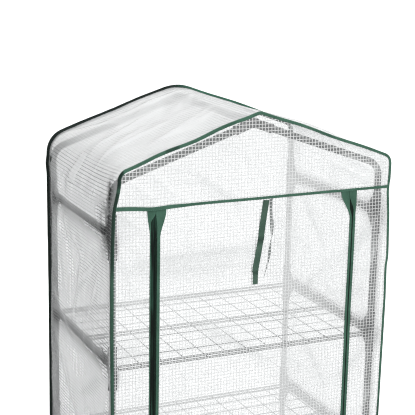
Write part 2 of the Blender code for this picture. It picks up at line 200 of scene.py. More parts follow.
class Geo:
    """Collects vertices, faces, UVs and material slots of one piece."""

    def __init__(self):
        self.verts, self.faces, self.uvs, self.slots = [], [], [], []
        self.crease, self.shade = [], None

    def face(self, corners, uvs, slot=0):
        self.faces.append(tuple(corners))
        self.uvs.append(uvs)
        self.slots.append(slot)

    def add(self, verts, faces, uvs, slot):
        base = len(self.verts)
        self.verts += [tuple(p) for p in verts]
        self.crease += [0.0] * len(verts)
        for corners in faces:
            self.face([base + i for i in corners], [uvs[i] for i in corners], slot)

    def grid(self, pts, uv, slot=0, wrap=False, caps=False, crease=None, flip=False):
        """Rows x columns of points; wrap closes each row, caps fills the end rows."""
        rows, cols = pts.shape[:2]
        base = len(self.verts)
        self.verts += [tuple(p) for p in pts.reshape(-1, 3)]
        self.crease += [0.0] * (rows * cols) if crease is None else list(np.ravel(crease))
        for i in range(rows - 1):
            for j in range(cols if wrap else cols - 1):
                k = (j + 1) % cols
                here, above = base + i * cols, base + (i + 1) * cols
                corners = [here + j, here + k, above + k, above + j]
                if k == 0:             # the UV seam: carry on past the last column
                    step = uv[i, cols - 1] - uv[i, cols - 2]
                    uvs = [uv[i, j], uv[i, j] + step, uv[i + 1, j] + step, uv[i + 1, j]]
                else:
                    uvs = [uv[i, j], uv[i, k], uv[i + 1, k], uv[i + 1, j]]
                if flip:
                    corners.reverse()
                    uvs.reverse()
                self.face(corners, uvs, slot)
        if caps:
            for i, order in ((0, range(cols - 1, -1, -1)), (rows - 1, range(cols))):
                self.face([base + i * cols + j for j in order], [uv[i, j] for j in order], slot)

    def make(self, name, mats, sharp=38, normals=True):
        mesh = bpy.data.meshes.new(name)
        mesh.from_pydata(self.verts, [], self.faces)
        flat = np.array([c for face in self.uvs for uv in face for c in uv], np.float32)
        mesh.uv_layers.new(name="UVMap").data.foreach_set("uv", flat)
        mesh.polygons.foreach_set("material_index", np.array(self.slots, np.int32))
        for layer, values in (("crease", self.crease), ("shade", self.shade)):
            if values is not None:
                attribute = mesh.attributes.new(layer, "FLOAT", "POINT")
                attribute.data.foreach_set("value", np.array(values, np.float32))
        for mat in mats:
            mesh.materials.append(mat)
        mesh.validate()
        if normals:
            bm = bmesh.new()
            bm.from_mesh(mesh)
            bmesh.ops.recalc_face_normals(bm, faces=bm.faces)
            bm.to_mesh(mesh)
            bm.free()
        mesh.shade_smooth()
        if sharp:
            mesh.set_sharp_from_angle(angle=math.radians(sharp))
        return link_object(name, mesh)


def place(obj, body, slot, *nodes):
    """Fixes an object to a moving body; nodes are the CAD pieces it stands for."""
    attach(obj, body)
    if nodes:
        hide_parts(*nodes)


def rings(path, side, radii, seg):
    """Rings round a path, starting from the `side` direction, and UVs in metres."""
    runs = unit(path[1:] - path[:-1])
    along = unit(np.vstack([runs[:1], runs[:-1] + runs[1:], runs[-1:]]))
    side = np.array(side, float)
    across = unit(side[None] - (along @ side)[:, None] * along)
    third = np.cross(along, across)
    radii = np.broadcast_to(np.asarray(radii, float), (len(path),))
    angles = np.arange(seg) * 2 * math.pi / seg
    pts = path[:, None] + radii[:, None, None] * (
        across[:, None] * np.cos(angles)[None, :, None]
        + third[:, None] * np.sin(angles)[None, :, None])
    around = angles * max(radii.max(), 1e-4)
    return pts, np.stack(np.meshgrid(lengths(path), around, indexing="ij"), -1)


def with_end_stations(path, inset):
    """The path with an extra point just inside each end."""
    path = np.array(path, float)
    first, last = path[1] - path[0], path[-2] - path[-1]
    first, last = first / np.linalg.norm(first), last / np.linalg.norm(last)
    return np.vstack([path[:1], path[:1] + first * inset, path[1:-1],
                      path[-1:] + last * inset, path[-1:]])


def rod(geo, path, side, radius, seg=12, slot=0, domed=True):
    """Solid round wire, with softly domed ends if wanted."""
    path, radii = np.array(path, float), radius
    if domed:
        path = with_end_stations(path, radius * 0.35)
        radii = np.full(len(path), radius)
        radii[0] = radii[-1] = radius * 0.62
    pts, uv = rings(path, side, radii, seg)
    geo.grid(pts, uv, slot, wrap=True, caps=True)


def hollow(geo, path, side, seg=40):
    """Round steel tube, open right through, with rolled ends."""
    path = with_end_stations(path, 0.0006)
    outer = np.full(len(path), TUBE_R)
    outer[0] = outer[-1] = TUBE_R - 0.00035
    inner = np.full(len(path), TUBE_R - TUBE_WALL)
    inner[0] = inner[-1] = TUBE_R - TUBE_WALL + 0.0002
    outer_pts, outer_uv = rings(path, side, outer, seg)
    inner_pts, inner_uv = rings(path, side, inner, seg)
    pts = np.concatenate([outer_pts, inner_pts[::-1]])
    uv = np.concatenate([outer_uv, inner_uv[::-1], outer_uv[:1]])
    count = len(pts)
    base = len(geo.verts)
    geo.verts += [tuple(p) for p in pts.reshape(-1, 3)]
    geo.crease += [0.0] * (count * seg)
    for i in range(count):
        here, above = base + i * seg, base + (i + 1) % count * seg
        u0, u1 = uv[i, 0, 0], uv[i + 1, 0, 0]
        for j in range(seg):
            k = (j + 1) % seg
            v0 = uv[i, j, 1]
            v1 = v0 + 2 * math.pi * TUBE_R / seg
            geo.face((here + j, here + k, above + k, above + j),
                     [(u0, v0), (u0, v1), (u1, v1), (u1, v0)])


def arc(centre, first, second, radius, start, stop, count):
    """Points on an arc that turns from direction `first` towards `second`."""
    centre, first, second = (np.array(q, float) for q in (centre, first, second))
    return [centre + radius * (math.cos(a) * first + math.sin(a) * second)
            for a in np.linspace(start, stop, count)]


# ------------------------------------------------------------ material building
class Tree:
    """Short-hand for building the node tree of a material or world."""

    def __init__(self, owner, output="OutputMaterial"):
        self.owner = owner
        owner.use_nodes = True
        self.tree = owner.node_tree
        self.tree.nodes.clear()
        self.output = self.node(output)

    def node(self, kind, **props):
        node = self.tree.nodes.new("ShaderNode" + kind)
        for key, value in props.items():
            setattr(node, key, value)
        return node

    def put(self, socket, value):
        if isinstance(value, bpy.types.NodeSocket):
            self.tree.links.new(value, socket)
        elif value is not None:
            if socket.type == "RGBA" and len(value) == 3:
                value = (*value, 1.0)
            socket.default_value = value

    def math(self, op, a, b=None, c=None, clamp=False):
        node = self.node("Math", operation=op, use_clamp=clamp)
        for socket, value in zip(node.inputs, (a, b, c)):
            self.put(socket, value)
        return node.outputs[0]

    def add(self, a, b, clamp=False):
        return self.math("ADD", a, b, clamp=clamp)

    def sub(self, a, b, clamp=False):
        return self.math("SUBTRACT", a, b, clamp=clamp)

    def mul(self, a, b, clamp=False):
        return self.math("MULTIPLY", a, b, clamp=clamp)

    def div(self, a, b):
        return self.math("DIVIDE", a, b)

    def max(self, a, b):
        return self.math("MAXIMUM", a, b)

    def abs(self, a):
        return self.math("ABSOLUTE", a)

    def centred(self, value, gain):
        """A 0..1 value swung about zero, times gain."""
        return self.mul(self.sub(value, 0.5), gain)

    def wave(self, value, period):
        """0..1 cosine wave of a coordinate in metres."""
        turn = self.mul(value, 2 * math.pi / period)
        return self.math("MULTIPLY_ADD", self.math("COSINE", turn), 0.5, 0.5)

    def vector(self, op, a, b):
        node = self.node("VectorMath", operation=op)
        self.put(node.inputs[0], a)
        self.put(node.inputs[1], b)
        return node.outputs["Value" if op == "DOT_PRODUCT" else "Vector"]

    def ramp(self, value, over, to=(0.0, 1.0)):
        """Smooth step of value across the range `over`, mapped to the range `to`."""
        node = self.node("MapRange", interpolation_type="SMOOTHSTEP")
        for socket, item in zip(node.inputs[:5], (value, *over, *to)):
            self.put(socket, item)
        return node.outputs[0]

    def mix(self, fac, a, b):
        node = self.node("Mix", data_type="RGBA")
        for index, value in ((0, fac), (6, a), (7, b)):
            self.put(node.inputs[index], value)
        return node.outputs[2]

    def uv(self):
        return self.node("UVMap", uv_map="UVMap").outputs[0]

    def split(self, vector):
        node = self.node("SeparateXYZ")
        self.put(node.inputs[0], vector)
        return node.outputs[:]

    def position(self):
        return self.node("TexCoord").outputs["Object"]

    def attribute(self, name):
        node = self.node("Attribute", attribute_name=name, attribute_type="GEOMETRY")
        return node.outputs["Fac"]

    def stretch(self, vector, scale):
        node = self.node("Mapping")
        self.put(node.inputs["Vector"], vector)
        self.put(node.inputs["Scale"], scale)
        return node.outputs[0]

    def noise(self, vector, scale, detail=3.0, rough=0.55, distortion=0.0):
        node = self.node("TexNoise")
        for key, value in (("Vector", vector), ("Scale", scale), ("Detail", detail),
                           ("Roughness", rough), ("Distortion", distortion)):
            self.put(node.inputs[key], value)
        return node.outputs[0]

    def bump(self, height, strength, distance, normal=None):
        node = self.node("Bump")
        for key, value in (("Strength", strength), ("Distance", distance),
                           ("Height", height), ("Normal", normal)):
            self.put(node.inputs[key], value)
        return node.outputs[0]

    def shader(self, kind, **inputs):
        node = self.node(kind)
        for key, value in inputs.items():
            self.put(node.inputs[key.replace("_", " ")], value)
        return node.outputs[0]

    def mix_shader(self, fac, a, b):
        node = self.node("MixShader")
        for socket, value in zip(node.inputs, (fac, a, b)):
            self.put(socket, value)
        return node.outputs[0]

    def finish(self, shader):
        self.put(self.output.inputs[0], shader)
        return self.owner

    def principled(self, veil_glow=False, **inputs):
        shader = self.shader("BsdfPrincipled", **inputs)
        return self.finish(self.paint_veil_glow(shader) if veil_glow else shader)

    def paint_veil_glow(self, shader):
        """Painted scattered light: seen through the cover, inner parts get a painted emission glow,
        paler with the sight line's length inside the film; seen directly, they stay as they are."""
        geometry, light_path = self.node("NewGeometry"), self.node("LightPath")
        place_xyz = self.split(geometry.outputs["Position"])
        view = self.split(geometry.outputs["Incoming"])

        def run(axis, centre, half):
            """Way to the cover along the sight line, for one axis."""
            away = self.mul(self.math("SIGN", view[axis]), self.sub(place_xyz[axis], centre))
            return self.div(self.sub(half, away), self.max(self.abs(view[axis]), 0.02))

        run_x = run(0, 0.0, HALF_W)
        run_y = run(1, MID_Y, DEPTH / 2)
        roof_z = 1.19                   # mean height of the roof
        run_z = self.div(self.sub(roof_z, place_xyz[2]), self.max(view[2], 0.02))
        nearest = self.math("MINIMUM", self.math("MINIMUM", run_x, run_y), run_z)
        inside = self.max(nearest, 0.0)
        fade_length, fade_power, strength = 0.36, 1.4, 0.76
        depth = self.math("POWER", self.mul(inside, 1 / fade_length), fade_power)
        haze = self.sub(1.0, self.math("EXPONENT", self.mul(depth, -1.0)))
        behind_film = self.math("GREATER_THAN", light_path.outputs["Transparent Depth"], 0.5)
        seen = self.mul(light_path.outputs["Is Camera Ray"], behind_film)
        # painted scattered light: a glow mixed over inner parts seen through the film
        glow = self.shader("Emission", Color=(0.82, 0.83, 0.83))
        return self.mix_shader(self.mul(self.mul(haze, seen), strength), shader, glow)


def new_tree(name):
    return Tree(bpy.data.materials.new(name))


MIDDLE = (0.3, 0.7)                     # where most of a noise lies


def make_tube():
    """Dark green-black powder coat: fine orange peel and dust."""
    tree = new_tree("powder_coated_tube")
    pos = tree.position()
    grain = tree.noise(pos, scale=900, detail=3)
    cloud = tree.noise(pos, scale=22, detail=4)
    dust = tree.ramp(tree.noise(pos, scale=60, detail=5, rough=0.65), over=(0.52, 0.72))
    colour = tree.mix(cloud, (0.010, 0.015, 0.013), (0.024, 0.032, 0.028))
    colour = tree.mix(tree.mul(dust, 0.22), colour, (0.10, 0.11, 0.105))
    rough = tree.add(tree.ramp(cloud, over=MIDDLE, to=(0.26, 0.40)), tree.mul(dust, 0.15))
    return tree.principled(veil_glow=True, Base_Color=colour, Roughness=rough,
                           Normal=tree.bump(grain, strength=0.25, distance=0.0002),
                           Specular_IOR_Level=0.35)


def make_connector():
    """Black moulded plastic: soft sheen, faint flow marks, scuffs."""
    tree = new_tree("moulded_connector")
    pos = tree.position()
    flow = tree.noise(pos, scale=35, detail=4, rough=0.6, distortion=0.8)
    grain = tree.noise(pos, scale=1500, detail=2)
    scuff = tree.ramp(tree.noise(pos, scale=240, detail=6, rough=0.7), over=(0.60, 0.72))
    colour = tree.mix(flow, (0.006, 0.006, 0.007), (0.016, 0.017, 0.017))
    colour = tree.mix(tree.mul(scuff, 0.35), colour, (0.07, 0.07, 0.07))
    rough = tree.add(tree.ramp(flow, over=MIDDLE, to=(0.20, 0.34)), tree.mul(scuff, 0.2))
    flow_bump = tree.bump(flow, strength=0.15, distance=0.0006)
    return tree.principled(veil_glow=True, Base_Color=colour, Roughness=rough,
                           Normal=tree.bump(grain, 0.18, distance=0.00015, normal=flow_bump),
                           Specular_IOR_Level=0.45)


def make_wire(name, painted_haze=0.0):
    """Green-black dipped wire with thicker and thinner coating."""
    tree = new_tree(name)
    pos = tree.position()
    cloud = tree.noise(pos, scale=40, detail=4)
    drip = tree.noise(pos, scale=300, detail=3)
    # the lift added to both colours is painted light for the film's haze over the wires
    dark = tuple(c + painted_haze for c in (0.016, 0.022, 0.019))
    light = tuple(c + painted_haze for c in (0.050, 0.060, 0.055))
    chip = tree.ramp(tree.noise(pos, scale=420, detail=4, rough=0.7), over=(0.66, 0.72))
    colour = tree.mix(tree.mul(chip, 0.5), tree.mix(cloud, dark, light), (0.22, 0.22, 0.21))
    return tree.principled(veil_glow=True, Base_Color=colour,
                           Roughness=tree.ramp(drip, over=MIDDLE, to=(0.30, 0.48)),
                           Normal=tree.bump(drip, strength=0.3, distance=0.0003))


def make_film(name, thread, haze=0.15, tint=(0.90, 0.915, 0.915), seed=0.0, cover=0.86,
              width=(0.108, 0.100), roof=None):
    """Clear film with a woven grid of reinforcing threads, in metric UVs.

    thread and roof are (dark, light) thread colours, roof a pair painted lighter for the lit slopes;
    cover is the threads' opacity and width their half widths in pitches, across U and V."""
    tree = new_tree(name)
    pitch = 0.008
    wobble = 0.0016
    uv = tree.uv()
    u, v = tree.split(uv)[:2]
    shifted = tree.vector("ADD", uv, (3.1 + seed, 7.7, 0))
    wobble_u = tree.centred(tree.noise(uv, scale=24, detail=3), wobble)
    wobble_v = tree.centred(tree.noise(shifted, scale=24, detail=3), wobble)
    fibre = tree.noise(uv, scale=420, detail=2)

    def threads(coord, shift, half):
        soft = 0.022                    # half width of a thread's soft edge
        cell = tree.mul(tree.add(coord, shift), 1 / pitch)
        # the whole part of the offset keeps the cells positive
        away = tree.abs(tree.sub(tree.math("FRACT", tree.add(cell, 100.5)), 0.5))
        half = tree.add(half, tree.centred(fibre, 0.03))
        edge = tree.ramp(away, over=(tree.sub(half, soft), tree.add(half, soft)))
        return tree.sub(1.0, edge)

    threads_u = threads(u, wobble_u, width[0])
    threads_v = threads(v, wobble_v, width[1])
    grid = tree.max(threads_u, threads_v)
    knot = tree.mul(threads_u, threads_v)

    # haze: roller streaks, dust, handling marks and creases
    streak = tree.noise(tree.stretch(uv, (1.0, 0.12, 1.0)), scale=90, detail=3, rough=0.6)
    cloud = tree.noise(shifted, scale=7, detail=4, rough=0.6, distortion=0.6)
    crease = tree.attribute("crease")
    milk = tree.add(haze, tree.centred(cloud, 0.14))
    milk = tree.add(milk, tree.centred(streak, 0.10))
    milk = tree.add(milk, tree.mul(crease, 0.35), clamp=True)

    # opacity grows as the film is seen at a slant
    geometry = tree.node("NewGeometry")
    facing = tree.vector("DOT_PRODUCT", geometry.outputs["Incoming"],
                         geometry.outputs["True Normal"])
    slant = tree.div(1.0, tree.max(tree.abs(facing), 0.12))
    clear = tree.math("POWER", tree.sub(1.0, milk), tree.math("POWER", slant, 0.55))
    thread_cover = tree.add(tree.mul(grid, cover), tree.mul(knot, 0.08), clamp=True)
    clear_threads = tree.math("POWER", tree.sub(1.0, thread_cover),
                              tree.math("MULTIPLY_ADD", slant, 0.25, 0.75))
    opaque = tree.sub(1.0, tree.mul(clear, clear_threads), clamp=True)
    # painted shade: the shade attribute darkens the cells between threads and makes them opaque
    shade = tree.attribute("shade")
    shaded_cells = tree.mul(shade, tree.sub(1.0, tree.mul(grid, 0.85)))
    opaque = tree.max(opaque, tree.mul(shaded_cells, 0.92))

    thread_colour = tree.mix(fibre, *thread)
    # painted light: on the roof the threads take the lighter roof pair
    if roof is not None:
        height = tree.split(tree.position())[2]
        thread_colour = tree.mix(tree.ramp(height, over=(1.105, 1.165)), thread_colour,
                                 tree.mix(fibre, *roof))
    # painted highlight: threads are painted lighter where the crease mark is strongest
    thread_colour = tree.mix(tree.ramp(crease, over=(0.85, 1.25), to=(0.0, 0.65)),
                             thread_colour, (0.86, 0.87, 0.87))
    colour = tree.mix(grid, tint, thread_colour)
    # painted shade in the film's colour
    colour = tree.mix(tree.mul(shaded_cells, 1.35, clamp=True), colour, (0.030, 0.032, 0.032))

    weave = tree.add(tree.mul(grid, 0.7), tree.mul(knot, 0.3))
    wrinkle = tree.noise(uv, scale=38, detail=2, rough=0.5, distortion=0.3)
    normal = tree.bump(weave, strength=0.35, distance=0.00022,
                       normal=tree.bump(wrinkle, strength=0.4, distance=0.0012))
    translucency = 0.45
    body = tree.mix_shader(translucency,
                           tree.shader("BsdfDiffuse", Color=colour, Normal=normal),
                           tree.shader("BsdfTranslucent", Color=colour, Normal=normal))
    through = tree.shader("BsdfTransparent", Color=(0.976, 0.978, 0.977))
    base = tree.mix_shader(opaque, through, body)
    gloss = tree.shader("BsdfGlossy", Color=(0.95, 0.95, 0.95), Normal=normal,
                        Roughness=tree.ramp(cloud, over=MIDDLE, to=(0.12, 0.24)))

    # mirror share: 5 % head on, rising at grazing views, less where painted shade lies over dark
    # fittings
    tilt = tree.vector("DOT_PRODUCT", geometry.outputs["Incoming"], normal)
    graze = tree.sub(1.0, tree.abs(tilt), clamp=True)
    mirror = tree.math("MULTIPLY_ADD", tree.math("POWER", graze, 5.0), 0.90, 0.05)
    mirror = tree.mul(mirror, tree.sub(1.0, tree.mul(shade, 0.85, clamp=True)))
    return tree.finish(tree.mix_shader(mirror, base, gloss))


def make_film_inside():
    """Inner face of the same sheet: nearly clear, so that the sheet counts once."""
    tree = new_tree("film_inner_face")
    smear = tree.ramp(tree.noise(tree.uv(), scale=9, detail=4), over=(0.4, 0.7), to=(0.01, 0.05))
    through = tree.shader("BsdfTransparent")
    matt = tree.shader("BsdfDiffuse", Color=(0.86, 0.87, 0.87))
    return tree.finish(tree.mix_shader(smear, through, matt))


def make_tape(name, dark, light, rough=0.78, weave=0.0011, sheen=0.05, right=None):
    """Woven tape: ribs across, warp along, uneven colour, painted shade where the crease mark is set.

    right is a (dark, light) pair used past the ridge, towards +X."""
    tree = new_tree(name)
    u, v = tree.split(tree.uv())[:2]
    pos = tree.position()
    cell = tree.mul(tree.add(tree.wave(u, weave), tree.wave(v, weave * 0.8)), 0.5)
    cloud = tree.noise(pos, scale=30, detail=4, rough=0.6)
    fleck = tree.noise(pos, scale=700, detail=2)
    colour = tree.mix(tree.ramp(cloud, over=MIDDLE), dark, light)
    if right is not None:
        colour = tree.mix(tree.ramp(tree.split(pos)[0], over=(-0.02, 0.05)), colour,
                          tree.mix(tree.ramp(cloud, over=MIDDLE), *right))
    gaps = tree.ramp(cell, over=(0.15, 0.85), to=(0.32, 0.0))
    colour = tree.mix(gaps, colour, (0.006, 0.014, 0.010))
    colour = tree.mix(tree.ramp(fleck, over=(0.62, 0.75), to=(0.0, 0.3)), colour,
                      tuple(min(1, c * 1.9 + 0.01) for c in light))
    # painted shade: darker where the crease mark is set, for folds and twists
    fold_shade = tree.mul(tree.attribute("crease"), 0.80, clamp=True)
    colour = tree.mix(fold_shade, colour, (0.004, 0.010, 0.008))
    cloth = tree.bump(tree.noise(pos, scale=110, detail=3), strength=0.35, distance=0.0008)
    normal = tree.bump(tree.add(cell, tree.mul(fleck, 0.4)), strength=0.6, distance=0.00025,
                       normal=cloth)
    return tree.principled(
        Base_Color=colour, Normal=normal, Sheen_Weight=sheen, Sheen_Roughness=0.4,
        Roughness=tree.ramp(cloud, over=MIDDLE, to=(rough - 0.06, rough + 0.08)),
        Specular_IOR_Level=0.18)


def make_stitch(name, colour):
    """Twisted sewing thread."""
    tree = new_tree(name)
    twist = tree.noise(tree.position(), scale=1600, detail=2)
    return tree.principled(Base_Color=tree.mix(twist, tuple(c * 0.6 for c in colour), colour),
                           Roughness=tree.ramp(twist, over=MIDDLE, to=(0.6, 0.8)),
                           Normal=tree.bump(twist, strength=0.5, distance=0.0002))


def make_zip():
    """Black zip tape with a herring-bone weave and green streaks along it."""
    tree = new_tree("zip_tape")
    u, v = tree.split(tree.uv())[:2]
    pos = tree.position()
    bone = 0.0016                       # width of one herring-bone column
    zigzag = tree.abs(tree.sub(tree.math("PINGPONG", v, bone), bone / 2))
    diagonal = tree.wave(tree.add(u, zigzag), period=0.0012)
    cloud = tree.noise(pos, scale=28, detail=4)
    colour = tree.mix(cloud, (0.002, 0.004, 0.003), (0.006, 0.010, 0.008))
    colour = tree.mix(tree.ramp(diagonal, over=(0.2, 0.8), to=(0.0, 0.30)), colour,
                      (0.012, 0.018, 0.015))
    streak = tree.noise(tree.stretch(pos, (1.0, 1.0, 0.035)), scale=260, detail=2)
    colour = tree.mix(tree.ramp(streak, over=(0.52, 0.64), to=(0.0, 0.75)), colour,
                      (0.018, 0.050, 0.034))
    cloth = tree.bump(tree.noise(pos, scale=90, detail=3), strength=0.3, distance=0.0006)
    return tree.principled(
        Base_Color=colour, Roughness=tree.ramp(cloud, over=MIDDLE, to=(0.55, 0.75)),
        Normal=tree.bump(diagonal, strength=0.5, distance=0.0002, normal=cloth),
        Sheen_Weight=0.01, Specular_IOR_Level=0.07)


def make_teeth():
    """Nylon coil."""
    tree = new_tree("zip_teeth")
    grain = tree.noise(tree.position(), scale=500, detail=3)
    return tree.principled(
        Base_Color=tree.mix(grain, (0.002, 0.008, 0.005), (0.008, 0.020, 0.013)),
        Roughness=tree.ramp(grain, over=MIDDLE, to=(0.34, 0.5)),
        Normal=tree.bump(grain, strength=0.2, distance=0.0001), Specular_IOR_Level=0.16)


def make_slider():
    """Dark enamelled metal, rubbed bright in places."""
    tree = new_tree("enamelled_slider")
    pos = tree.position()
    cloud = tree.noise(pos, scale=120, detail=4)
    rub = tree.ramp(tree.noise(pos, scale=520, detail=5, rough=0.7), over=(0.60, 0.70))
    colour = tree.mix(cloud, (0.012, 0.013, 0.013), (0.035, 0.037, 0.037))
    colour = tree.mix(tree.mul(rub, 0.6), colour, (0.34, 0.34, 0.33))
    grain = tree.noise(pos, scale=900, detail=3)
    return tree.principled(
        Base_Color=colour, Roughness=tree.ramp(cloud, over=MIDDLE, to=(0.25, 0.42)),
        Metallic=tree.math("MULTIPLY_ADD", rub, 0.5, 0.35),
        Normal=tree.bump(grain, strength=0.2, distance=0.0001), Coat_Weight=0.3)


TUBE = make_tube()
PLASTIC = make_connector()
WIRE = make_wire("coated_wire")
# the fine cross wires take a lighter copy of the coating, painted light for the film's haze
FINE_WIRE = make_wire("coated_wire_fine", painted_haze=0.13)
FILM = make_film("reinforced_film", thread=((0.77, 0.78, 0.78), (0.87, 0.88, 0.88)))
BACK_FILM = make_film("reinforced_film_back", haze=0.17, seed=2.0, cover=0.26,
                      thread=((0.78, 0.79, 0.79), (0.86, 0.87, 0.87)))
# painted shade: the side film's threads are painted dark for the shaded walls, its roof pair lighter
# for the lit slopes
SIDE_FILM = make_film("reinforced_film_side", tint=(0.95, 0.96, 0.96), seed=4.0, cover=0.84,
                      thread=((0.22, 0.225, 0.225), (0.34, 0.345, 0.345)),
                      width=(0.066, 0.122), roof=((0.46, 0.47, 0.47), (0.62, 0.63, 0.63)))
INNER_FILM = make_film_inside()
BINDING = make_tape("green_binding", dark=(0.036, 0.094, 0.063), light=(0.060, 0.140, 0.097))
BACK_TAPE = make_tape("back_binding_tape", dark=(0.003, 0.007, 0.006),
                      light=(0.009, 0.015, 0.013), sheen=0.02,
                      right=((0.014, 0.070, 0.043), (0.028, 0.112, 0.070)))
STRAP = make_tape("tie_tape", dark=(0.044, 0.086, 0.063), light=(0.068, 0.118, 0.089),
                  rough=0.84, weave=0.0014, sheen=0.08)
ZIP_TAPE = make_zip()
TEETH = make_teeth()
ENAMEL = make_slider()
THREAD = make_stitch("green_thread", (0.075, 0.200, 0.140))
DARK_THREAD = make_stitch("dark_thread", (0.030, 0.050, 0.042))

# ------------------------------------------------------------ steel tubes
EAVE_BEND_R = 0.040
ROOF_TUBE_STOP = 0.0205                 # gap from the ridge axis to a roof tube's end


def straight_tube(name, node, along, centre=None):
    """Tube along axis number `along`, over the length of its CAD piece."""
    low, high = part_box(node)
    path = np.tile(centre or box_centre(node), (5, 1))
    path[:, along] = np.linspace(low[along], high[along], 5)
    geo = Geo()
    hollow(geo, path, side=(1, 0, 0))
    place(geo.make(name, [TUBE]), "frame", "tube", node)


def roof_tube(node, y, side):
    """Rises from the upper connector, bends at the eave and climbs to the ridge."""
    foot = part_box(node)[0].z
    eave_z = RIDGE_Z - POST_X * TAN
    centre_x = POST_X - EAVE_BEND_R
    centre_z = eave_z - EAVE_BEND_R * math.tan(TURN / 2)
    path = [(POST_X, foot), (POST_X, foot + 0.03)]
    path += [(centre_x + EAVE_BEND_R * math.cos(a), centre_z + EAVE_BEND_R * math.sin(a))
             for a in np.linspace(0, TURN, 15)]
    end = (ROOF_TUBE_STOP * COS, RIDGE_Z - ROOF_TUBE_STOP * SIN)
    path += [((path[-1][0] + end[0]) / 2, (path[-1][1] + end[1]) / 2), end]
    geo = Geo()
    hollow(geo, [(x * side, y, z) for x, z in path], side=(0, 1, 0))
    place(geo.make("tube_" + node, [TUBE]), "frame", "tube", node)


for level in LEVEL_NAMES[1:]:
    for corner, _, _ in CORNERS:
        node = "post_%s_%s" % (level, corner)
        straight_tube("tube_" + node, node, along=2)
for level in LEVEL_NAMES:
    for side_name, _ in SIDES:
        node = "side_rail_%s_%s" % (level, side_name)
        straight_tube("tube_" + node, node, along=1)
straight_tube("tube_ridge", "ridge_tube", along=1, centre=(0.0, 0.0, RIDGE_Z))
for gable, y, _ in GABLES:
    for side_name, side in SIDES:
        roof_tube("roof_tube_%s_%s" % (gable, side_name), y, side)


# ------------------------------------------------------------ solids for moulded parts
def lathe(profile, axis, seg=44, centre=(0, 0, 0), fin=0.00022):
    """Closed solid turned from (radius, height) pairs, with two faint mould lines."""
    axis = Vector(axis).normalized()
    helper = Vector((1, 0, 0)) if abs(axis.x) < 0.9 else Vector((0, 1, 0))
    first = (helper - axis * helper.dot(axis)).normalized()
    second = axis.cross(first)
    bm = bmesh.new()
    loops = []
    for radius, height in profile:
        loop = []
        for i in range(seg):
            a = 2 * math.pi * i / seg
            r = radius + (fin if i in (0, seg // 2) and radius > 0.004 else 0)
            loop.append(bm.verts.new(Vector(centre) + axis * height
                                     + first * (r * math.cos(a)) + second * (r * math.sin(a))))
        loops.append(loop)
    for lower, upper in zip(loops, loops[1:]):
        for i in range(seg):
            j = (i + 1) % seg
            bm.faces.new((lower[i], lower[j], upper[j], upper[i]))
    bm.faces.new(loops[0])
    bm.faces.new(loops[-1])
    bmesh.ops.recalc_face_normals(bm, faces=bm.faces)
    return bm


def prism(outline, axis, half):
    """Flat plate from an outline, `half` thick each way along axis, edges eased."""
    bm = bmesh.new()
    lower = [bm.verts.new(Vector(p) - Vector(axis) * half) for p in outline]
    upper = [bm.verts.new(Vector(p) + Vector(axis) * half) for p in outline]
    bm.faces.new(lower)
    bm.faces.new(list(reversed(upper)))
    for i in range(len(outline)):
        j = (i + 1) % len(outline)
        bm.faces.new((lower[i], upper[i], upper[j], lower[j]))
    bmesh.ops.recalc_face_normals(bm, faces=bm.faces)
    bmesh.ops.bevel(bm, geom=list(bm.edges), offset=min(0.0007, half * 0.45), segments=2,
                    affect="EDGES")
    return bm


def as_object(name, bm):
    mesh = bpy.data.meshes.new(name)
    bm.to_mesh(mesh)
    bm.free()
    return link_object(name, mesh)


def evaluated_mesh(obj, **options):
    graph = bpy.context.evaluated_depsgraph_get()
    return bpy.data.meshes.new_from_object(obj.evaluated_get(graph), depsgraph=graph, **options)


def carve(name, base, add, cut, mat):
    """base plus the solids in add, less those in cut, as one mesh."""
    obj = as_object(name, base)
    tools = []
    for bm, op in [(b, "UNION") for b in add] + [(b, "DIFFERENCE") for b in cut]:
        tool = as_object(name + "_tool", bm)
        tools.append(tool)
        modifier = obj.modifiers.new(op, "BOOLEAN")
        modifier.operation, modifier.solver, modifier.object = op, "EXACT", tool
    mesh = evaluated_mesh(obj)
    for spent in tools + [obj]:
        bpy.data.objects.remove(spent, do_unlink=True)
    bm = bmesh.new()
    bm.from_mesh(mesh)
    bmesh.ops.remove_doubles(bm, verts=bm.verts, dist=1e-6)
    bmesh.ops.dissolve_degenerate(bm, edges=bm.edges, dist=1e-6)
    bm.to_mesh(mesh)
    bm.free()
    mesh.name = name
    mesh.materials.clear()
    mesh.materials.append(mat)
    mesh.shade_smooth()
    mesh.set_sharp_from_angle(angle=math.radians(34))
    mesh.uv_layers.new(name="UVMap")
    return mesh


def bore(start, mouth):
    """Profile of a tube's bore, flared at the mouth and running out past it."""
    flare = BORE + 0.0008
    return [(BORE, start), (BORE, mouth - 0.001), (flare, mouth + 0.0004), (flare, mouth + 0.01)]


# ------------------------------------------------------------ post connectors
def socket_parts(foot):
    """Rail socket along +Y with its web and cross ribs, and its bore."""
    down = 0.041 if foot else 0.050
    reach = SOCKET_REACH
    add = [lathe([(SOCKET_R - 0.0011, 0.0), (SOCKET_R - 0.0011, reach - 0.0065),
                  (SOCKET_R, reach - 0.0058), (SOCKET_R, reach - 0.0005),
                  (SOCKET_R - 0.0005, reach)], (0, 1, 0), 40)]
    # web outline: y, z
    web = [(0.0065, 0.041), (0.0125, 0.0400), (0.0260, 0.0245), (0.0405, 0.0075),
           (0.0405, -0.0075), (0.0260, -0.0280), (0.0125, -down + 0.001), (0.0065, -down)]
    add.append(prism([(0, y, z) for y, z in web], (1, 0, 0), 0.0019))
    rib = [(-0.0042, 0.012), (0.0042, 0.012), (0.0030, 0.022), (-0.0030, 0.022)]   # x, y
    for z in (0.020, -0.024):
        add.append(prism([(x, y, z) for x, y in rib], (0, 0, 1), 0.0008))
    return add, [lathe(bore(0.0175, reach), (0, 1, 0), 40, fin=0)]


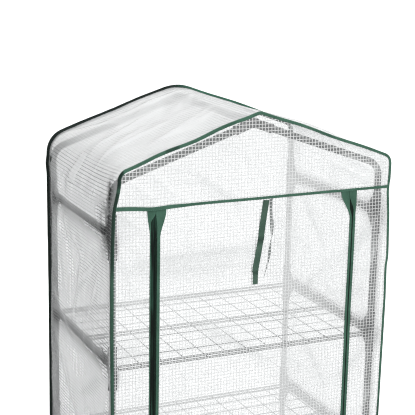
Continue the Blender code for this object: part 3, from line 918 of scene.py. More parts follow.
def foot_sleeve():
    """Sleeve with a wider foot on the floor, and its grip ribs."""
    floor = -LEVELS[0]
    body = SLEEVE_R - 0.0006
    base = lathe([(0.0118, floor), (0.0125, floor + 0.0007), (0.0125, floor + 0.0052),
                  (0.0119, floor + 0.0062), (body, floor + 0.0092), (body, 0.035),
                  (SLEEVE_R, 0.0362), (SLEEVE_R, SLEEVE_UP - 0.0005),
                  (SLEEVE_R - 0.0005, SLEEVE_UP)], (0, 0, 1))
    # rib outline: radius, height above the floor
    rib = [(0.0085, 0.004), (0.0122, 0.004), (0.0105, 0.030), (0.0085, 0.030)]
    ribs = []
    for k in range(6):
        a = k * math.pi / 3 + math.pi / 6
        c, s = math.cos(a), math.sin(a)
        ribs.append(prism([(c * r, s * r, floor + h) for r, h in rib], (-s, c, 0), 0.0009))
    return base, ribs


def mid_sleeve():
    """Sleeve with a raised band at each end."""
    body, band, lip = SLEEVE_R - 0.0008, 0.006, 0.0006
    bottom = -SLEEVE_DOWN
    return lathe([(SLEEVE_R - lip, bottom), (SLEEVE_R, bottom + lip), (SLEEVE_R, bottom + band),
                  (body, bottom + band + 0.001), (body, SLEEVE_UP - band - 0.001),
                  (SLEEVE_R, SLEEVE_UP - band), (SLEEVE_R, SLEEVE_UP - lip),
                  (SLEEVE_R - lip, SLEEVE_UP)], (0, 0, 1))


def connector_mesh(foot):
    add, cut = socket_parts(foot)
    if foot:
        base, ribs = foot_sleeve()
        add += ribs
    else:
        base = mid_sleeve()
        downward = [(radius, -height) for radius, height in reversed(bore(0.020, SLEEVE_DOWN))]
        cut.append(lathe(downward, (0, 0, 1), 40, fin=0))
    cut.append(lathe(bore(0.012, SLEEVE_UP), (0, 0, 1), 40, fin=0))
    return carve("connector_foot" if foot else "connector_mid", base, add, cut, PLASTIC)


foot_mesh, mid_mesh = connector_mesh(True), connector_mesh(False)
for level, name in zip(LEVELS, LEVEL_NAMES):
    for corner, side, end in CORNERS:
        node = "connector_%s_%s" % (name, corner)
        mesh = (foot_mesh if name == "base" else mid_mesh).copy()
        turn = Matrix.Rotation(0.0 if end < 0 else math.pi, 4, "Z")
        y = POST_FRONT if end < 0 else POST_BACK
        mesh.transform(Matrix.Translation((POST_X * side, y, level)) @ turn)
        place(link_object("moulded_" + node, mesh), "frame", "connector", node)


def ridge_connector(node, y, end):
    """Three arms: one takes the ridge tube, two the roof tubes."""
    centre = Vector((0, y, RIDGE_Z))
    inward = Vector((0, -end, 0))
    slopes = [Vector((-COS, 0, -SIN)), Vector((COS, 0, -SIN))]
    arm_r, reach = 0.0115, 0.048
    arm = [(arm_r - 0.0009, -0.004), (arm_r - 0.0009, 0.041), (arm_r, 0.042),
           (arm_r, 0.0475), (arm_r - 0.0005, reach)]
    base = lathe([(arm_r - 0.0015, -0.013), (arm_r - 0.0002, -0.012), (arm_r - 0.0002, 0.041),
                  (arm_r + 0.0004, 0.042), (arm_r + 0.0004, 0.0475), (arm_r, reach)],
                 inward, centre=centre)
    add = [lathe(arm, slope, centre=centre) for slope in slopes]
    # webs between the ridge arm and the roof arms: along the slope, inward
    web = ((0.006, 0.006), (0.036, 0.008), (0.022, 0.022), (0.008, 0.036))
    for slope in slopes:
        add.append(prism([centre + slope * along + inward * deep for along, deep in web],
                         slope.cross(inward).normalized(), 0.0018))
    cut = [lathe(bore(0.020, reach), axis, centre=centre, fin=0) for axis in slopes + [inward]]
    mesh = carve("moulded_" + node, base, add, cut, PLASTIC)
    place(link_object("moulded_" + node, mesh), "frame", "connector", node)


for gable, y, end in GABLES:
    ridge_connector("ridge_connector_" + gable, y, end)

# ------------------------------------------------------------ wire shelves
SHELF_EDGE_X = 0.3215
SHELF_BAR_Y = 0.2120                    # outer bars from the middle
CROSS_PITCH = 0.0535
THIN_PITCH = SHELF_BAR_Y / 4


def cross_wire(geo, x, z_low, z_cross):
    """Runs front to back and bends down round the lower bar at both ends."""
    y0, y1 = MID_Y - SHELF_BAR_Y, MID_Y + SHELF_BAR_Y
    z_bend = z_cross - 0.0018
    path = [(x, y0 - 0.0032, z_low - 0.0008), (x, y0 - 0.0032, z_bend)]
    path += arc((x, y0 - 0.0012, z_bend), (0, -1, 0), (0, 0, 1), 0.0020, 0.35, math.pi / 2, 4)
    path += [(x, MID_Y - 0.1, z_cross), (x, MID_Y + 0.1, z_cross)]
    path += arc((x, y1 + 0.0012, z_bend), (0, 0, 1), (0, 1, 0), 0.0020, 0.0,
                math.pi / 2 - 0.35, 4)
    path += [(x, y1 + 0.0032, z_bend), (x, y1 + 0.0032, z_low - 0.0008)]
    rod(geo, path, (1, 0, 0), 0.0011, seg=10, slot=1)


def rail_hook(geo, side, y, z_cross, level):
    """Rises from the shelf's edge wire and curls over the side rail."""
    x = side * SHELF_EDGE_X
    path = [(x, y, z_cross), (x, y, level + 0.0005)]
    start_r = 0.0125
    hook_r = TUBE_R + 0.0003 + 0.0015
    steps = 9
    for i in range(steps + 1):
        f = i / steps
        a = math.pi * (0.93 - 0.48 * f)
        r = start_r + (hook_r - start_r) * ease(f * 1.8)
        path.append((side * POST_X + side * r * math.cos(a), y, level + r * math.sin(a)))
    rod(geo, path, (0, 1, 0), 0.0014, seg=10)


def wire_shelf(node, level, body):
    z_low, z_top, z_cross = level - 0.0090, level - 0.0012, level - 0.0050
    geo = Geo()
    bar_x = SHELF_EDGE_X + 0.001
    for offset in (-SHELF_BAR_Y, 0.0, SHELF_BAR_Y):
        for z in (z_low, z_top):
            rod(geo, [(x, MID_Y + offset, z) for x in (-bar_x, -0.1, 0.1, bar_x)],
                (0, 1, 0), 0.0026, seg=14)
    for end in (-1, 1):
        for k in (1, 2, 3):
            y, z = MID_Y + end * k * THIN_PITCH, z_cross + 0.0023
            rod(geo, [(-SHELF_EDGE_X, y, z), (SHELF_EDGE_X, y, z)], (0, 1, 0), 0.0012,
                seg=10, slot=1)
    for i in range(-5, 6):
        cross_wire(geo, i * CROSS_PITCH, z_low, z_cross)
    y0, y1 = MID_Y - SHELF_BAR_Y - 0.0014, MID_Y + SHELF_BAR_Y + 0.0014
    for side in (-1, 1):
        rod(geo, [(side * SHELF_EDGE_X, y, z_cross) for y in (y0, MID_Y, y1)],
            (1, 0, 0), 0.0015)
        for offset in (-2 * THIN_PITCH, 0.0, 2 * THIN_PITCH):
            rail_hook(geo, side, MID_Y + offset, z_cross, level)
    place(geo.make("wire_" + node, [WIRE, FINE_WIRE], sharp=50), body, "wire", node)


wire_shelf("shelf_upper", LEVELS[2], "upper_shelf")
wire_shelf("shelf_middle", LEVELS[1], "middle_shelf")
wire_shelf("shelf_lower", LEVELS[0], "lower_shelf")

# ------------------------------------------------------------ section of the soft cover
# points of half the outline: wall, eave arc, roof slope, ridge arc
SIDE_N, ARC_N, ROOF_N, RIDGE_N = 170, 16, 50, 6
RIDGE_INDEX = SIDE_N + ARC_N + ROOF_N + RIDGE_N - 1

# inward lean of the walls: heights, offsets
LEFT_FRONT_LEAN = ((0.0, 0.5, 0.80, 0.90, 0.97, 1.02, 1.05, 1.07),
                   (-0.001, -0.003, -0.0045, -0.0042, -0.0030, -0.0010, 0.0004, 0.0))
LEFT_BACK_LEAN = ((0.0, 0.5, 0.8, 1.05, 1.10), (0.001, 0.003, 0.0045, 0.0040, 0.0))
RIGHT_FRONT_LEAN = ((0.0, 0.5, 0.79, 0.87, 0.895, 0.92, 1.0, 1.052, 1.075, 1.085),
                    (0.0, -0.003, -0.0052, -0.0034, -0.0064, -0.0058, -0.0026, 0.0020,
                     0.0012, -0.0005))


def near_front(y):
    """1 at the front edge, 0 from 30 mm behind it."""
    return ease((FRONT + 0.030 - y) / 0.030)


def eave(side, y):
    """Radius of the eave and how far it is drawn in, at depth y."""
    t = (y - FRONT) / DEPTH
    mid = math.sin(math.pi * min(1, max(0, t))) ** 0.75
    near = float(near_front(y))
    if side < 0:
        end_r = 0.027 + (0.055 - 0.027) * t
        return end_r + (0.105 - end_r) * mid, 0.0045 + 0.0085 * near
    return 0.024 + (0.085 - 0.024) * mid, 0.0035 * (1 - near)


def lean(side, y, z, top_z, top_inset):
    """How far the wall is drawn in (positive) or bulges out, at depth y and heights z."""
    near = near_front(y)
    start = 1.075 - 0.030 * near
    inset = top_inset * ease((z - start) / max(top_z - start, 1e-3))
    if side < 0:
        inset += near * np.interp(z, *LEFT_FRONT_LEAN)
        far = ease((y - (BACK - 0.03)) / 0.03)
        return inset + far * np.interp(z, *LEFT_BACK_LEAN)
    return inset + near * np.interp(z, *RIGHT_FRONT_LEAN)


def slack_wave(fraction, height, cycles, phase):
    """Waves of loose film between eave (0) and ridge (1)."""
    return height * (0.5 + 0.5 * math.sin(2 * math.pi * (cycles * fraction + phase)))


def half_section(side, y):
    """Points (distance from the middle, height) from the foot of one side to the ridge."""
    r, inset = eave(side, y)
    centre_x = HALF_W - r - inset
    centre_z = EAVE_Z - r * math.tan(TURN / 2) + inset * TAN
    heights = SKIRT_Z + (centre_z - SKIRT_Z) * np.linspace(0, 1, SIDE_N)
    pts = list(zip(HALF_W - lean(side, y, heights, centre_z, inset), heights))
    for i in range(1, ARC_N + 1):
        a = TURN * i / ARC_N
        pts.append((centre_x + r * math.cos(a), centre_z + r * math.sin(a)))
    x1, z1 = pts[-1]
    ridge_r = 0.014 + 0.100 * float(ease((y - FRONT) / DEPTH / 0.8))
    ridge_z = APEX_Z - ridge_r / COS
    x2, z2 = ridge_r * SIN, ridge_z + ridge_r * COS
    front_end = float(ease((FRONT + 0.05 - y) / 0.05))
    back_end = float(ease((y - (BACK - 0.05)) / 0.05))
    for i in range(1, ROOF_N + 1):
        f = i / ROOF_N
        if side < 0:
            slack = slack_wave(f, front_end * 0.0046, 1.85, -0.1755)
        else:
            slack = slack_wave(f, front_end * 0.0030, 1.60, 0.10)
        slack += slack_wave(f, back_end * 0.0024, 1.30, 0.15 if side < 0 else 0.55)
        slack *= math.sin(math.pi * f)
        pts.append((x1 + (x2 - x1) * f + slack * SIN, z1 + (z2 - z1) * f + slack * COS))
    for i in range(1, RIDGE_N + 1):
        a = math.pi / 2 - SLOPE + SLOPE * i / RIDGE_N
        pts.append((ridge_r * math.cos(a), ridge_z + ridge_r * math.sin(a)))
    return np.array(pts)


def section(y):
    """Outline at depth y, left foot over the ridge to right foot: points, normals."""
    left = half_section(-1, y) * np.array([-1, 1])
    right = half_section(1, y)[::-1][1:]
    pts = np.vstack([left, right])
    along = np.zeros_like(pts)
    along[1:-1] = pts[2:] - pts[:-2]
    along[0], along[-1] = pts[1] - pts[0], pts[-1] - pts[-2]
    along = unit(along)
    return pts, np.stack([-along[:, 1], along[:, 0]], 1)


FRONT_OUTLINE, FRONT_NORMALS = section(FRONT)
BACK_OUTLINE, BACK_NORMALS = section(BACK)


def edge_x(outline, z, side):
    """X of the outline at height z on one side."""
    half = outline[:RIDGE_INDEX + 1] if side < 0 else outline[RIDGE_INDEX:][::-1]
    return np.interp(z, half[:, 1], half[:, 0])


def hem_drop(x):
    """The hem is pulled down at the left zip and runs straight from there to the right."""
    x = np.asarray(x, float)
    kink, deep = -0.252, 0.0058
    left = ease((x + HALF_W) / (kink + HALF_W)) * deep
    right = (1 - (x - kink) / (HALF_W - kink)) * deep
    drop = np.where(x < kink, left, right)
    return -np.clip(drop, 0, deep) * 0.55 * (1 + bell((x - kink, 0.05)) * 0.82)


def hem_warp(x, z):
    """Vertical shift of the front sheets near the hem."""
    return hem_drop(x) * np.where(z > HEM_Z, bell((z - HEM_Z, 0.045)), bell((z - HEM_Z, 0.22)))


# ------------------------------------------------------------ relief of walls and roof
FAR_IN = -0.02                          # film is free where nothing stands behind it


def keep_clear(need, inside, offset, radius):
    """Raises need to the surface of a round part centred on the post plane."""
    surface = POST_X + np.sqrt(np.maximum(radius ** 2 - offset ** 2, 0)) - HALF_W
    return np.maximum(need, np.where(inside, surface, FAR_IN))


def near_supports(y, z):
    """How far out the wall film has to stay to clear tubes and connectors."""
    need = np.full(np.shape(y), FAR_IN)
    for post_y, inward in ((POST_FRONT, 1), (POST_BACK, -1)):
        off = np.abs(y - post_y)
        need = keep_clear(need, off < TUBE_R, off, TUBE_R)
        for level in LEVELS:
            sleeve = ((off < SLEEVE_R) & (z > level - SLEEVE_DOWN - 0.004)
                      & (z < level + SLEEVE_UP + 0.004))
            need = keep_clear(need, sleeve, off, SLEEVE_R)
            rise = np.abs(z - level)
            along = (y - post_y) * inward
            socket = (rise < SOCKET_R) & (along > 0) & (along < SOCKET_REACH + 0.004)
            need = keep_clear(need, socket, rise, SOCKET_R)
    for level in LEVELS:
        rise = np.abs(z - level)
        rail = (rise < TUBE_R) & (y > POST_FRONT) & (y < POST_BACK)
        need = keep_clear(need, rail, rise, TUBE_R)
    return need


def blur(values, passes):
    for _ in range(passes):
        p = np.pad(values, 1, mode="edge")
        values = (p[1:-1, 1:-1] * 2 + p[:-2, 1:-1] + p[2:, 1:-1] + p[1:-1, :-2] + p[1:-1, 2:]) / 6
    return values


# folds: start (y, z), end (y, z), width, height
LEFT_FOLDS = (
    (0.051, 0.944, -0.034, 0.911, 0.006, 0.0045), (-0.024, 0.905, 0.037, 0.762, 0.007, 0.0040),
    (0.037, 0.762, 0.043, 0.727, 0.006, 0.0030), (0.109, 0.982, 0.072, 0.914, 0.006, 0.0035),
    (-0.190, 0.965, -0.020, 0.850, 0.010, 0.0035), (-0.150, 0.905, -0.060, 0.760, 0.009, 0.0030),
    (0.180, 0.930, 0.110, 0.800, 0.008, 0.0030), (0.190, 0.760, 0.060, 0.690, 0.008, 0.0025),
    (-0.175, 0.655, 0.02, 0.560, 0.010, 0.0030), (0.170, 0.640, 0.04, 0.500, 0.010, 0.0030),
    (-0.180, 0.345, -0.02, 0.260, 0.010, 0.0028), (0.180, 0.330, 0.05, 0.190, 0.011, 0.0028))
RIGHT_FOLDS = (
    (-0.180, 0.965, -0.030, 0.840, 0.009, 0.0035), (0.185, 0.955, 0.060, 0.850, 0.009, 0.0035),
    (-0.160, 0.790, -0.010, 0.740, 0.008, 0.0028), (0.060, 0.780, 0.170, 0.690, 0.008, 0.0028),
    (-0.180, 0.650, -0.040, 0.520, 0.010, 0.0030), (0.150, 0.560, 0.020, 0.470, 0.010, 0.0030),
    (-0.170, 0.330, 0.010, 0.230, 0.010, 0.0028), (0.190, 0.250, 0.070, 0.160, 0.010, 0.0025))
# folds: start (x, y), end (x, y), width, height
ROOF_FOLDS = (
    (-0.23, 0.17, -0.02, 0.18, 0.006, 0.0030), (-0.30, 0.02, -0.12, 0.10, 0.010, 0.0040),
    (-0.31, -0.06, -0.16, -0.03, 0.008, 0.0030), (-0.20, -0.13, -0.05, -0.06, 0.008, 0.0025),
    (-0.11, 0.03, -0.01, 0.12, 0.008, 0.0028), (-0.28, 0.20, -0.17, 0.13, 0.008, 0.0028),
    (0.05, 0.15, 0.24, 0.19, 0.008, 0.0030), (0.10, 0.00, 0.30, 0.06, 0.010, 0.0035),
    (0.06, -0.14, 0.20, -0.10, 0.009, 0.0030), (0.22, -0.17, 0.31, -0.08, 0.009, 0.0030))
# broad soft folds: real relief, with marks that paint their light and shade into the film's haze
BROAD_ROOF_FOLDS = (
    (-0.315, -0.065, -0.180, 0.012, 0.016, 0.0032), (-0.235, 0.085, -0.110, 0.150, 0.018, 0.0030),
    (-0.060, 0.215, -0.150, 0.120, 0.020, 0.0028), (-0.190, -0.125, -0.060, -0.100, 0.014, 0.0022),
    (0.080, -0.070, 0.230, -0.030, 0.018, 0.0028), (0.120, 0.100, 0.260, 0.130, 0.018, 0.0028))


def side_relief(side, y, z):
    """Outward displacement of a wall and its crease marks."""
    left = side < 0
    relief = np.zeros_like(y)
    across = np.clip((y - POST_FRONT) / (POST_BACK - POST_FRONT), 0, 1)
    for lower, upper in zip(LEVELS, LEVELS[1:]):
        rise = np.clip((z - lower) / (upper - lower), 0, 1)
        relief -= 0.0055 * np.sin(math.pi * across) * np.sin(math.pi * rise)
    relief += 0.0035 * layered_noise(y * 9 + 2, z * 3.2, 1 if left else 9, 3)
    relief, marks = add_folds(relief, np.zeros_like(y), y, z,
                              LEFT_FOLDS if left else RIGHT_FOLDS, tail=0.30)
    if left:
        relief += 0.006 * bell((y - 0.055, 0.030), (z - 1.085, 0.045))
    crumple = (ridged(y * 16, z * 11, 3 if left else 5)
               * ease(layered_noise(y * 5, z * 4, 6, 2) + 0.35))
    relief += 0.0011 * crumple
    relief += 0.0006 * layered_noise(y * 40, z * 34, 4, 3)
    marks += 0.35 * crumple
    need = blur(near_supports(y, z) + 0.0009, 2)
    touch = ease((need - relief + 0.0035) / 0.0045)    # film on a tube or fitting is clearer
    for level in LEVELS[:3]:            # room for the shelf hooks as a shelf is lifted out
        need = np.maximum(need, -0.0052 - 0.010 * ease((z - level - 0.115) / 0.02)
                          - 0.010 * ease((level - 0.012 - z) / 0.02))
    on_front_post = ease(1 - np.abs(y - POST_FRONT) / 0.020) * ease((z - 1.02) / 0.02) * 0.9
    touch = np.maximum(touch, on_front_post)
    return smooth_max(relief, need, 0.0022), marks * (1 - touch) - 0.16 * blur(touch, 2)


def roof_relief(side, x, y):
    """Displacement of one roof slope, which hangs and billows between the gables."""
    t = np.clip((y - FRONT) / DEPTH, 0, 1)
    relief = -0.0035 * np.sin(math.pi * t) * ease(np.abs(x) / 0.10)
    relief += 0.0028 * layered_noise(x * 5, y * 7, 8, 3)
    relief, marks = add_folds(relief, np.zeros_like(x), x, y, ROOF_FOLDS)
    relief, marks = add_folds(relief, marks, x, y, BROAD_ROOF_FOLDS, broad=True)
    if side > 0:
        relief += 0.0085 * bell((x - 0.155, 0.085), (y - (FRONT + 0.055), 0.045))
    crumple = ridged(x * 10, y * 13, 7) * ease(layered_noise(x * 4, y * 5, 10, 2) + 0.3)
    relief += 0.0010 * crumple + 0.0006 * layered_noise(x * 36, y * 38, 11, 3)
    marks += 0.35 * crumple
    # the slack roof looks milkier, most of all towards the ridge
    marks += 0.24 + 0.46 * ease((0.30 - np.abs(x)) / 0.16)
    return relief, marks


# ------------------------------------------------------------ film sheets
def film_object(name, geo, mats):
    """Gives the sheet its thickness; inner faces take the next material slot."""
    obj = geo.make(name, mats, sharp=None, normals=False)
    modifier = obj.modifiers.new("thickness", "SOLIDIFY")
    modifier.thickness = 0.00035
    modifier.offset = -1.0
    modifier.use_even_offset = False
    modifier.material_offset = 1
    mesh = evaluated_mesh(obj, preserve_all_data_layers=True)
    obj.modifiers.clear()
    old = obj.data
    obj.data = mesh
    bpy.data.meshes.remove(old)
    mesh.name = name
    return obj


def fitting_shade(x, y, z):
    """Painted shade and reflection of the dark fittings on the film that lies over them."""
    left = x < 0
    shade = np.zeros_like(y)
    between = ease((y - POST_FRONT) / 0.03) * ease((POST_BACK - y) / 0.03)
    rail_weight = 0.46 + 0.16 * ease((0.02 - y) / 0.2) + 0.14 * ease((y - 0.08) / 0.10)
    for level in LEVELS:
        rail = np.where(left, rail_weight * bell((z - level + 0.003, 0.024)),
                        0.92 * bell((z - level + 0.002, 0.024)))
        shade = np.maximum(shade, rail * between)
        for post_y, inward, weight in ((POST_FRONT, 1, 0.50), (POST_BACK, -1, 0.25)):
            socket_shade = weight * np.where(x > 0, 1.45, 1.15) * bell(
                (y - post_y - inward * 0.026, 0.030), (z - level - 0.006, 0.042, 2.4))
            shade = np.maximum(shade, socket_shade)
    # painted shade where the front left fitting at the top lies hard against the film
    top = LEVELS[3]
    away = np.hypot((y - POST_FRONT - 0.004) / 0.060,
                    (z - top - 0.010 - 0.20 * (y - POST_FRONT)) / 0.062)
    top_fitting_shade = 1.12 * bell((away, 1, 2.8))
    # a lighter spot is left in it as a painted highlight
    top_fitting_shade = top_fitting_shade * (1 - 0.80 * bell((y - POST_FRONT - 0.030, 0.011),
                                         (z - top - 0.030, 0.019)))
    shade = np.where(left, np.maximum(shade, top_fitting_shade), shade)
    # painted shade over the roof tube's bend at the front posts, strong on the left
    bend_shade = (bell((y - POST_FRONT, 0.016, 2.4)) * ease((z - 1.03) / 0.03)
            * ease((1.140 - z) / 0.03) * np.where(left, 0.97, 0.2))
    return np.clip(np.maximum(shade, bend_shade) * (z < 1.2), 0, 0.95)


def build_sides_roof():
    """Both walls and the roof as one sheet from left foot to right foot."""
    depths = np.concatenate([[FRONT + 0.0006, FRONT + 0.004],
                             np.linspace(FRONT + 0.009, BACK - 0.009, 76),
                             [BACK - 0.004, BACK - 0.0006]])
    sections = [section(y) for y in depths]
    pts = np.array([s[0] for s in sections])
    normals = np.array([s[1] for s in sections])
    rows, cols = pts.shape[:2]
    y = np.repeat(depths[:, None], cols, 1)
    x, z = pts[..., 0], pts[..., 1]

    # UVs run from each foot on the walls and from the ridge on the roof
    step = np.linalg.norm(pts[:, 1:] - pts[:, :-1], axis=2)
    run = np.concatenate([np.zeros((rows, 1)), np.cumsum(step, axis=1)], axis=1)
    top = run[:, RIDGE_INDEX][:, None]
    mid_top = top[rows // 2]
    roof_share = ease((z - 1.045) / 0.085)
    from_foot = np.where(np.arange(cols)[None] <= RIDGE_INDEX, run,
                         2 * mid_top - (run[:, -1:] - run))
    around = from_foot * (1 - roof_share) + (mid_top + (run - top)) * roof_share

    fade = ease((y - FRONT) / 0.014) * ease((BACK - y) / 0.014)
    up = ease((z - 1.075) / 0.05)       # 0 on the walls, 1 on the roof
    halves = []
    for side in (-1, 1):
        wall, wall_marks = side_relief(side, y, z)
        roof, roof_marks = roof_relief(side, x, y)
        halves.append((wall * (1 - up) + roof * up, wall_marks * (1 - up) + roof_marks * up))
    left = x < 0
    relief = np.where(left, halves[0][0], halves[1][0]) * fade
    marks = np.where(left, halves[0][1], halves[1][1]) * fade
    # painted highlight: a lighter, milkier oval over the bulge near the left eave
    oval_highlight = bell((y - 0.045 - (z - 1.11) * 0.15, 0.020, 4), (z - 1.106, 0.034, 4)) * left
    marks = marks + 1.4 * oval_highlight
    marks = marks + 0.34 * bell((z - 1.095, 0.045)) * left * fade
    for level in LEVELS:
        marks = marks + (0.55 * bell((z - level + 0.003, 0.030))
                         * ease((y - POST_FRONT - 0.03) / 0.03) * left)
    sheet = points(x + normals[..., 0] * relief, y, z + normals[..., 1] * relief)
    geo = Geo()
    geo.grid(sheet, np.stack([y - FRONT, around], -1), crease=np.clip(marks, -0.45, 1.2))
    # the two halves of the sheet part along the ridge and take different film
    geo.slots = [2 if k % (cols - 1) >= (cols - 1) // 2 else 0 for k in range(len(geo.slots))]
    geo.shade = fitting_shade(x, y, z).ravel()
    obj = film_object("film_sides_roof", geo, [SIDE_FILM, INNER_FILM, BACK_FILM, INNER_FILM])
    place(obj, "frame", "film", "cover_sides_roof")


# folds on the upright sheets: start (x, z), end (x, z), width, height
GABLE_FOLDS = (
    (-0.26, 1.146, -0.19, 1.075, 0.006, 0.0035), (-0.30, 1.120, -0.24, 1.078, 0.005, 0.0028),
    (-0.21, 1.155, -0.16, 1.110, 0.006, 0.0022), (0.18, 1.140, 0.29, 1.084, 0.006, 0.0035),
    (0.22, 1.150, 0.30, 1.105, 0.006, 0.0028), (0.12, 1.120, 0.20, 1.080, 0.006, 0.0022),
    (-0.05, 1.190, 0.03, 1.100, 0.008, 0.0016), (0.310, 1.120, 0.27, 1.075, 0.005, 0.0030))
STRIP_FOLDS = (                         # right strip; the left one mirrors them
    (0.33, 1.03, 0.27, 0.93, 0.006, 0.0030), (0.335, 0.96, 0.275, 0.84, 0.007, 0.0030),
    (0.27, 0.80, 0.33, 0.70, 0.007, 0.0028), (0.33, 0.58, 0.27, 0.47, 0.007, 0.0028),
    (0.27, 0.36, 0.33, 0.25, 0.007, 0.0026))
BACK_FOLDS = (
    (-0.12, 0.790, 0.26, 0.800, 0.012, 0.0055), (-0.10, 0.765, 0.22, 0.758, 0.008, -0.0030),
    (-0.25, 1.00, -0.10, 0.88, 0.010, 0.0035), (0.05, 1.03, 0.20, 0.92, 0.010, 0.0035),
    (-0.30, 0.62, -0.05, 0.52, 0.011, 0.0035), (0.08, 0.60, 0.29, 0.47, 0.010, 0.0035),
    (-0.25, 0.32, 0.02, 0.24, 0.011, 0.0032), (0.05, 1.17, 0.16, 1.10, 0.010, 0.0025))
DOOR_FOLDS = (
    (-0.20, 1.02, -0.10, 0.90, 0.009, 0.0028), (0.06, 1.01, 0.19, 0.88, 0.010, 0.0026),
    (-0.15, 0.80, 0.02, 0.74, 0.010, 0.0024), (0.05, 0.70, 0.20, 0.60, 0.010, 0.0028),
    (-0.20, 0.58, -0.04, 0.47, 0.010, 0.0030), (0.00, 0.42, 0.18, 0.33, 0.010, 0.0028),
    (-0.19, 0.30, -0.06, 0.18, 0.010, 0.0028), (0.06, 0.22, 0.19, 0.10, 0.010, 0.0026))
# painted shade on the front film over fittings seen through it: x, half width, height over the level,
# half height, weight
FRONT_FITTINGS = ((-0.338, 0.011, -0.014, 0.032, 0.72), (0.306, 0.034, 0.020, 0.038, 0.62),
                  (0.328, 0.016, -0.004, 0.044, 0.62))
STRIP_X = 0.2555                        # inner edge of the strips beside the zips
DOOR_X = 0.2425                         # the door film runs under the zip tapes


def flat_relief(x, z, folds, seed, strength):
    relief = strength * 0.0016 * layered_noise(x * 7, z * 3.5, seed, 3)
    relief, marks = add_folds(relief, np.zeros_like(x), x, z, folds)
    crumple = (ridged(x * 12, z * 9, seed + 1)
               * ease(layered_noise(x * 5, z * 4, seed + 2, 2) + 0.25))
    relief += strength * (0.0008 * crumple + 0.0005 * layered_noise(x * 36, z * 34, seed + 3, 3))
    return relief, marks + 0.3 * crumple


def end_panel(outline, heights, cols):
    """X and Z of a sheet spread between the two edges of an outline."""
    left = edge_x(outline, heights, -1)[:, None] + 0.0003
    right = edge_x(outline, heights, 1)[:, None] - 0.0003
    x = left + (right - left) * np.linspace(0, 1, cols)
    return x, np.repeat(heights[:, None], cols, 1)


def edge_distance(x, z, drop):
    """Distance to the sides or to the roof line set `drop` below the apex."""
    return np.minimum(np.minimum(x - x[:, :1], x[:, -1:] - x),
                      (APEX_Z - drop - np.abs(x) * TAN - z) * COS)


def upright_sheet(geo, x, y, z, shift, marks, flip=False):
    """A sheet facing front or back; shift moves it vertically under its UVs."""
    geo.grid(points(x, y, z + shift), np.stack([x + 0.5, z], -1),
             crease=np.clip(marks, 0, 1.2), flip=flip)


def front_gable(geo):
    heights = np.concatenate([np.linspace(HEM_Z - 0.0004, 1.090, 5),
                              np.linspace(1.0955, 1.146, 22),
                              np.linspace(1.1505, FRONT_OUTLINE[:, 1].max() - 0.0022, 26)])
    x, z = end_panel(FRONT_OUTLINE, heights, 116)
    fade = ease(edge_distance(x, z, 0.004) / 0.022) * ease((z - HEM_Z) / 0.02)
    relief, marks = flat_relief(x, z, GABLE_FOLDS, seed=2, strength=0.9)
    relief = np.clip(relief + 0.0006, -0.004, 0.006) * fade
    upright_sheet(geo, x, FRONT - relief, z, hem_warp(x, z), marks * fade)


def front_strip(geo, side):
    """Strip between the cover's edge and a zip."""
    heights = np.concatenate([np.linspace(SKIRT_Z, 1.0, 150),
                              np.linspace(1.006, HEM_Z + 0.0004, 12)])
    cols, margin = 14, side * 0.0003
    outer = edge_x(FRONT_OUTLINE, heights, side)[:, None]
    x = outer - margin + (side * STRIP_X - outer + margin) * np.linspace(0, 1, cols)
    z = np.repeat(heights[:, None], cols, 1)
    folds = [(side * x0, z0, side * x1, z1, width, height)
             for x0, z0, x1, z1, width, height in STRIP_FOLDS]
    relief, marks = flat_relief(x, z, folds, seed=5 if side < 0 else 9, strength=1.0)
    fade = (ease(np.abs(x - x[:, :1]) / 0.016) * ease(np.abs(x - x[:, -1:]) / 0.012)
            * ease((HEM_Z - z) / 0.02))
    relief = np.clip(relief, -0.004, 0.0045) * fade
    upright_sheet(geo, x, FRONT - relief, z, hem_warp(x, z), marks * fade, flip=side > 0)


def build_front():
    geo = Geo()
    front_gable(geo)
    for side in (-1, 1):
        front_strip(geo, side)
    x, _, z = np.array(geo.verts).T
    shade = np.zeros(len(x))
    for level in LEVELS:
        for centre_x, half_x, rise, half_z, weight in FRONT_FITTINGS:
            shade = np.maximum(shade, weight * bell((x - centre_x, half_x, 2.4),
                                                    (z - level - rise, half_z, 2.6)))
    # painted shade on the strip where the right post stands close behind it
    post = (0.52 * bell((x - 0.3225, 0.0085, 2.6)) * ease((z - 0.08) / 0.03)
            * ease((1.055 - z) / 0.02))
    geo.shade = np.maximum(shade, post)
    place(film_object("film_front", geo, [FILM, INNER_FILM]), "frame", "film", "cover_front")


def build_back():
    heights = np.concatenate([np.linspace(SKIRT_Z, 1.085, 160), np.linspace(1.0905, 1.146, 22),
                              np.linspace(1.1505, BACK_OUTLINE[:, 1].max() - 0.0022, 24)])
    x, z = end_panel(BACK_OUTLINE, heights, 104)
    relief, marks = flat_relief(x, z, BACK_FOLDS, seed=12, strength=1.3)
    fade = ease(edge_distance(x, z, 0.010) / 0.022)
    relief = np.clip(relief, -0.007, 0.006) * fade
    geo = Geo()
    upright_sheet(geo, x, BACK + relief, z, 0.0, marks * fade, flip=True)
    place(film_object("film_back", geo, [BACK_FILM, INNER_FILM]), "frame", "film", "cover_back")


def bend_with_door(obj):
    """Bakes the object's placement into its mesh."""
    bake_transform(obj)


def build_door():
    heights = np.concatenate([np.linspace(DOOR_Z, 1.03, 165),
                              np.linspace(1.0345, HEM_Z - 0.0005, 9)])
    x, z = np.meshgrid(np.linspace(-DOOR_X, DOOR_X, 84), heights)
    relief, marks = flat_relief(x, z, DOOR_FOLDS, seed=14, strength=1.0)
    fade = ease((DOOR_X - np.abs(x)) / 0.016) * ease((HEM_Z - z) / 0.03)
    relief = np.clip(relief, -0.006, 0.0010) * fade    # stays behind the hanging strap
    geo = Geo()
    upright_sheet(geo, x, FRONT - relief, z, hem_warp(x, z), marks * fade)
    obj = film_object("film_door", geo, [FILM, INNER_FILM])
    bend_with_door(obj)
    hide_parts("door_panel")


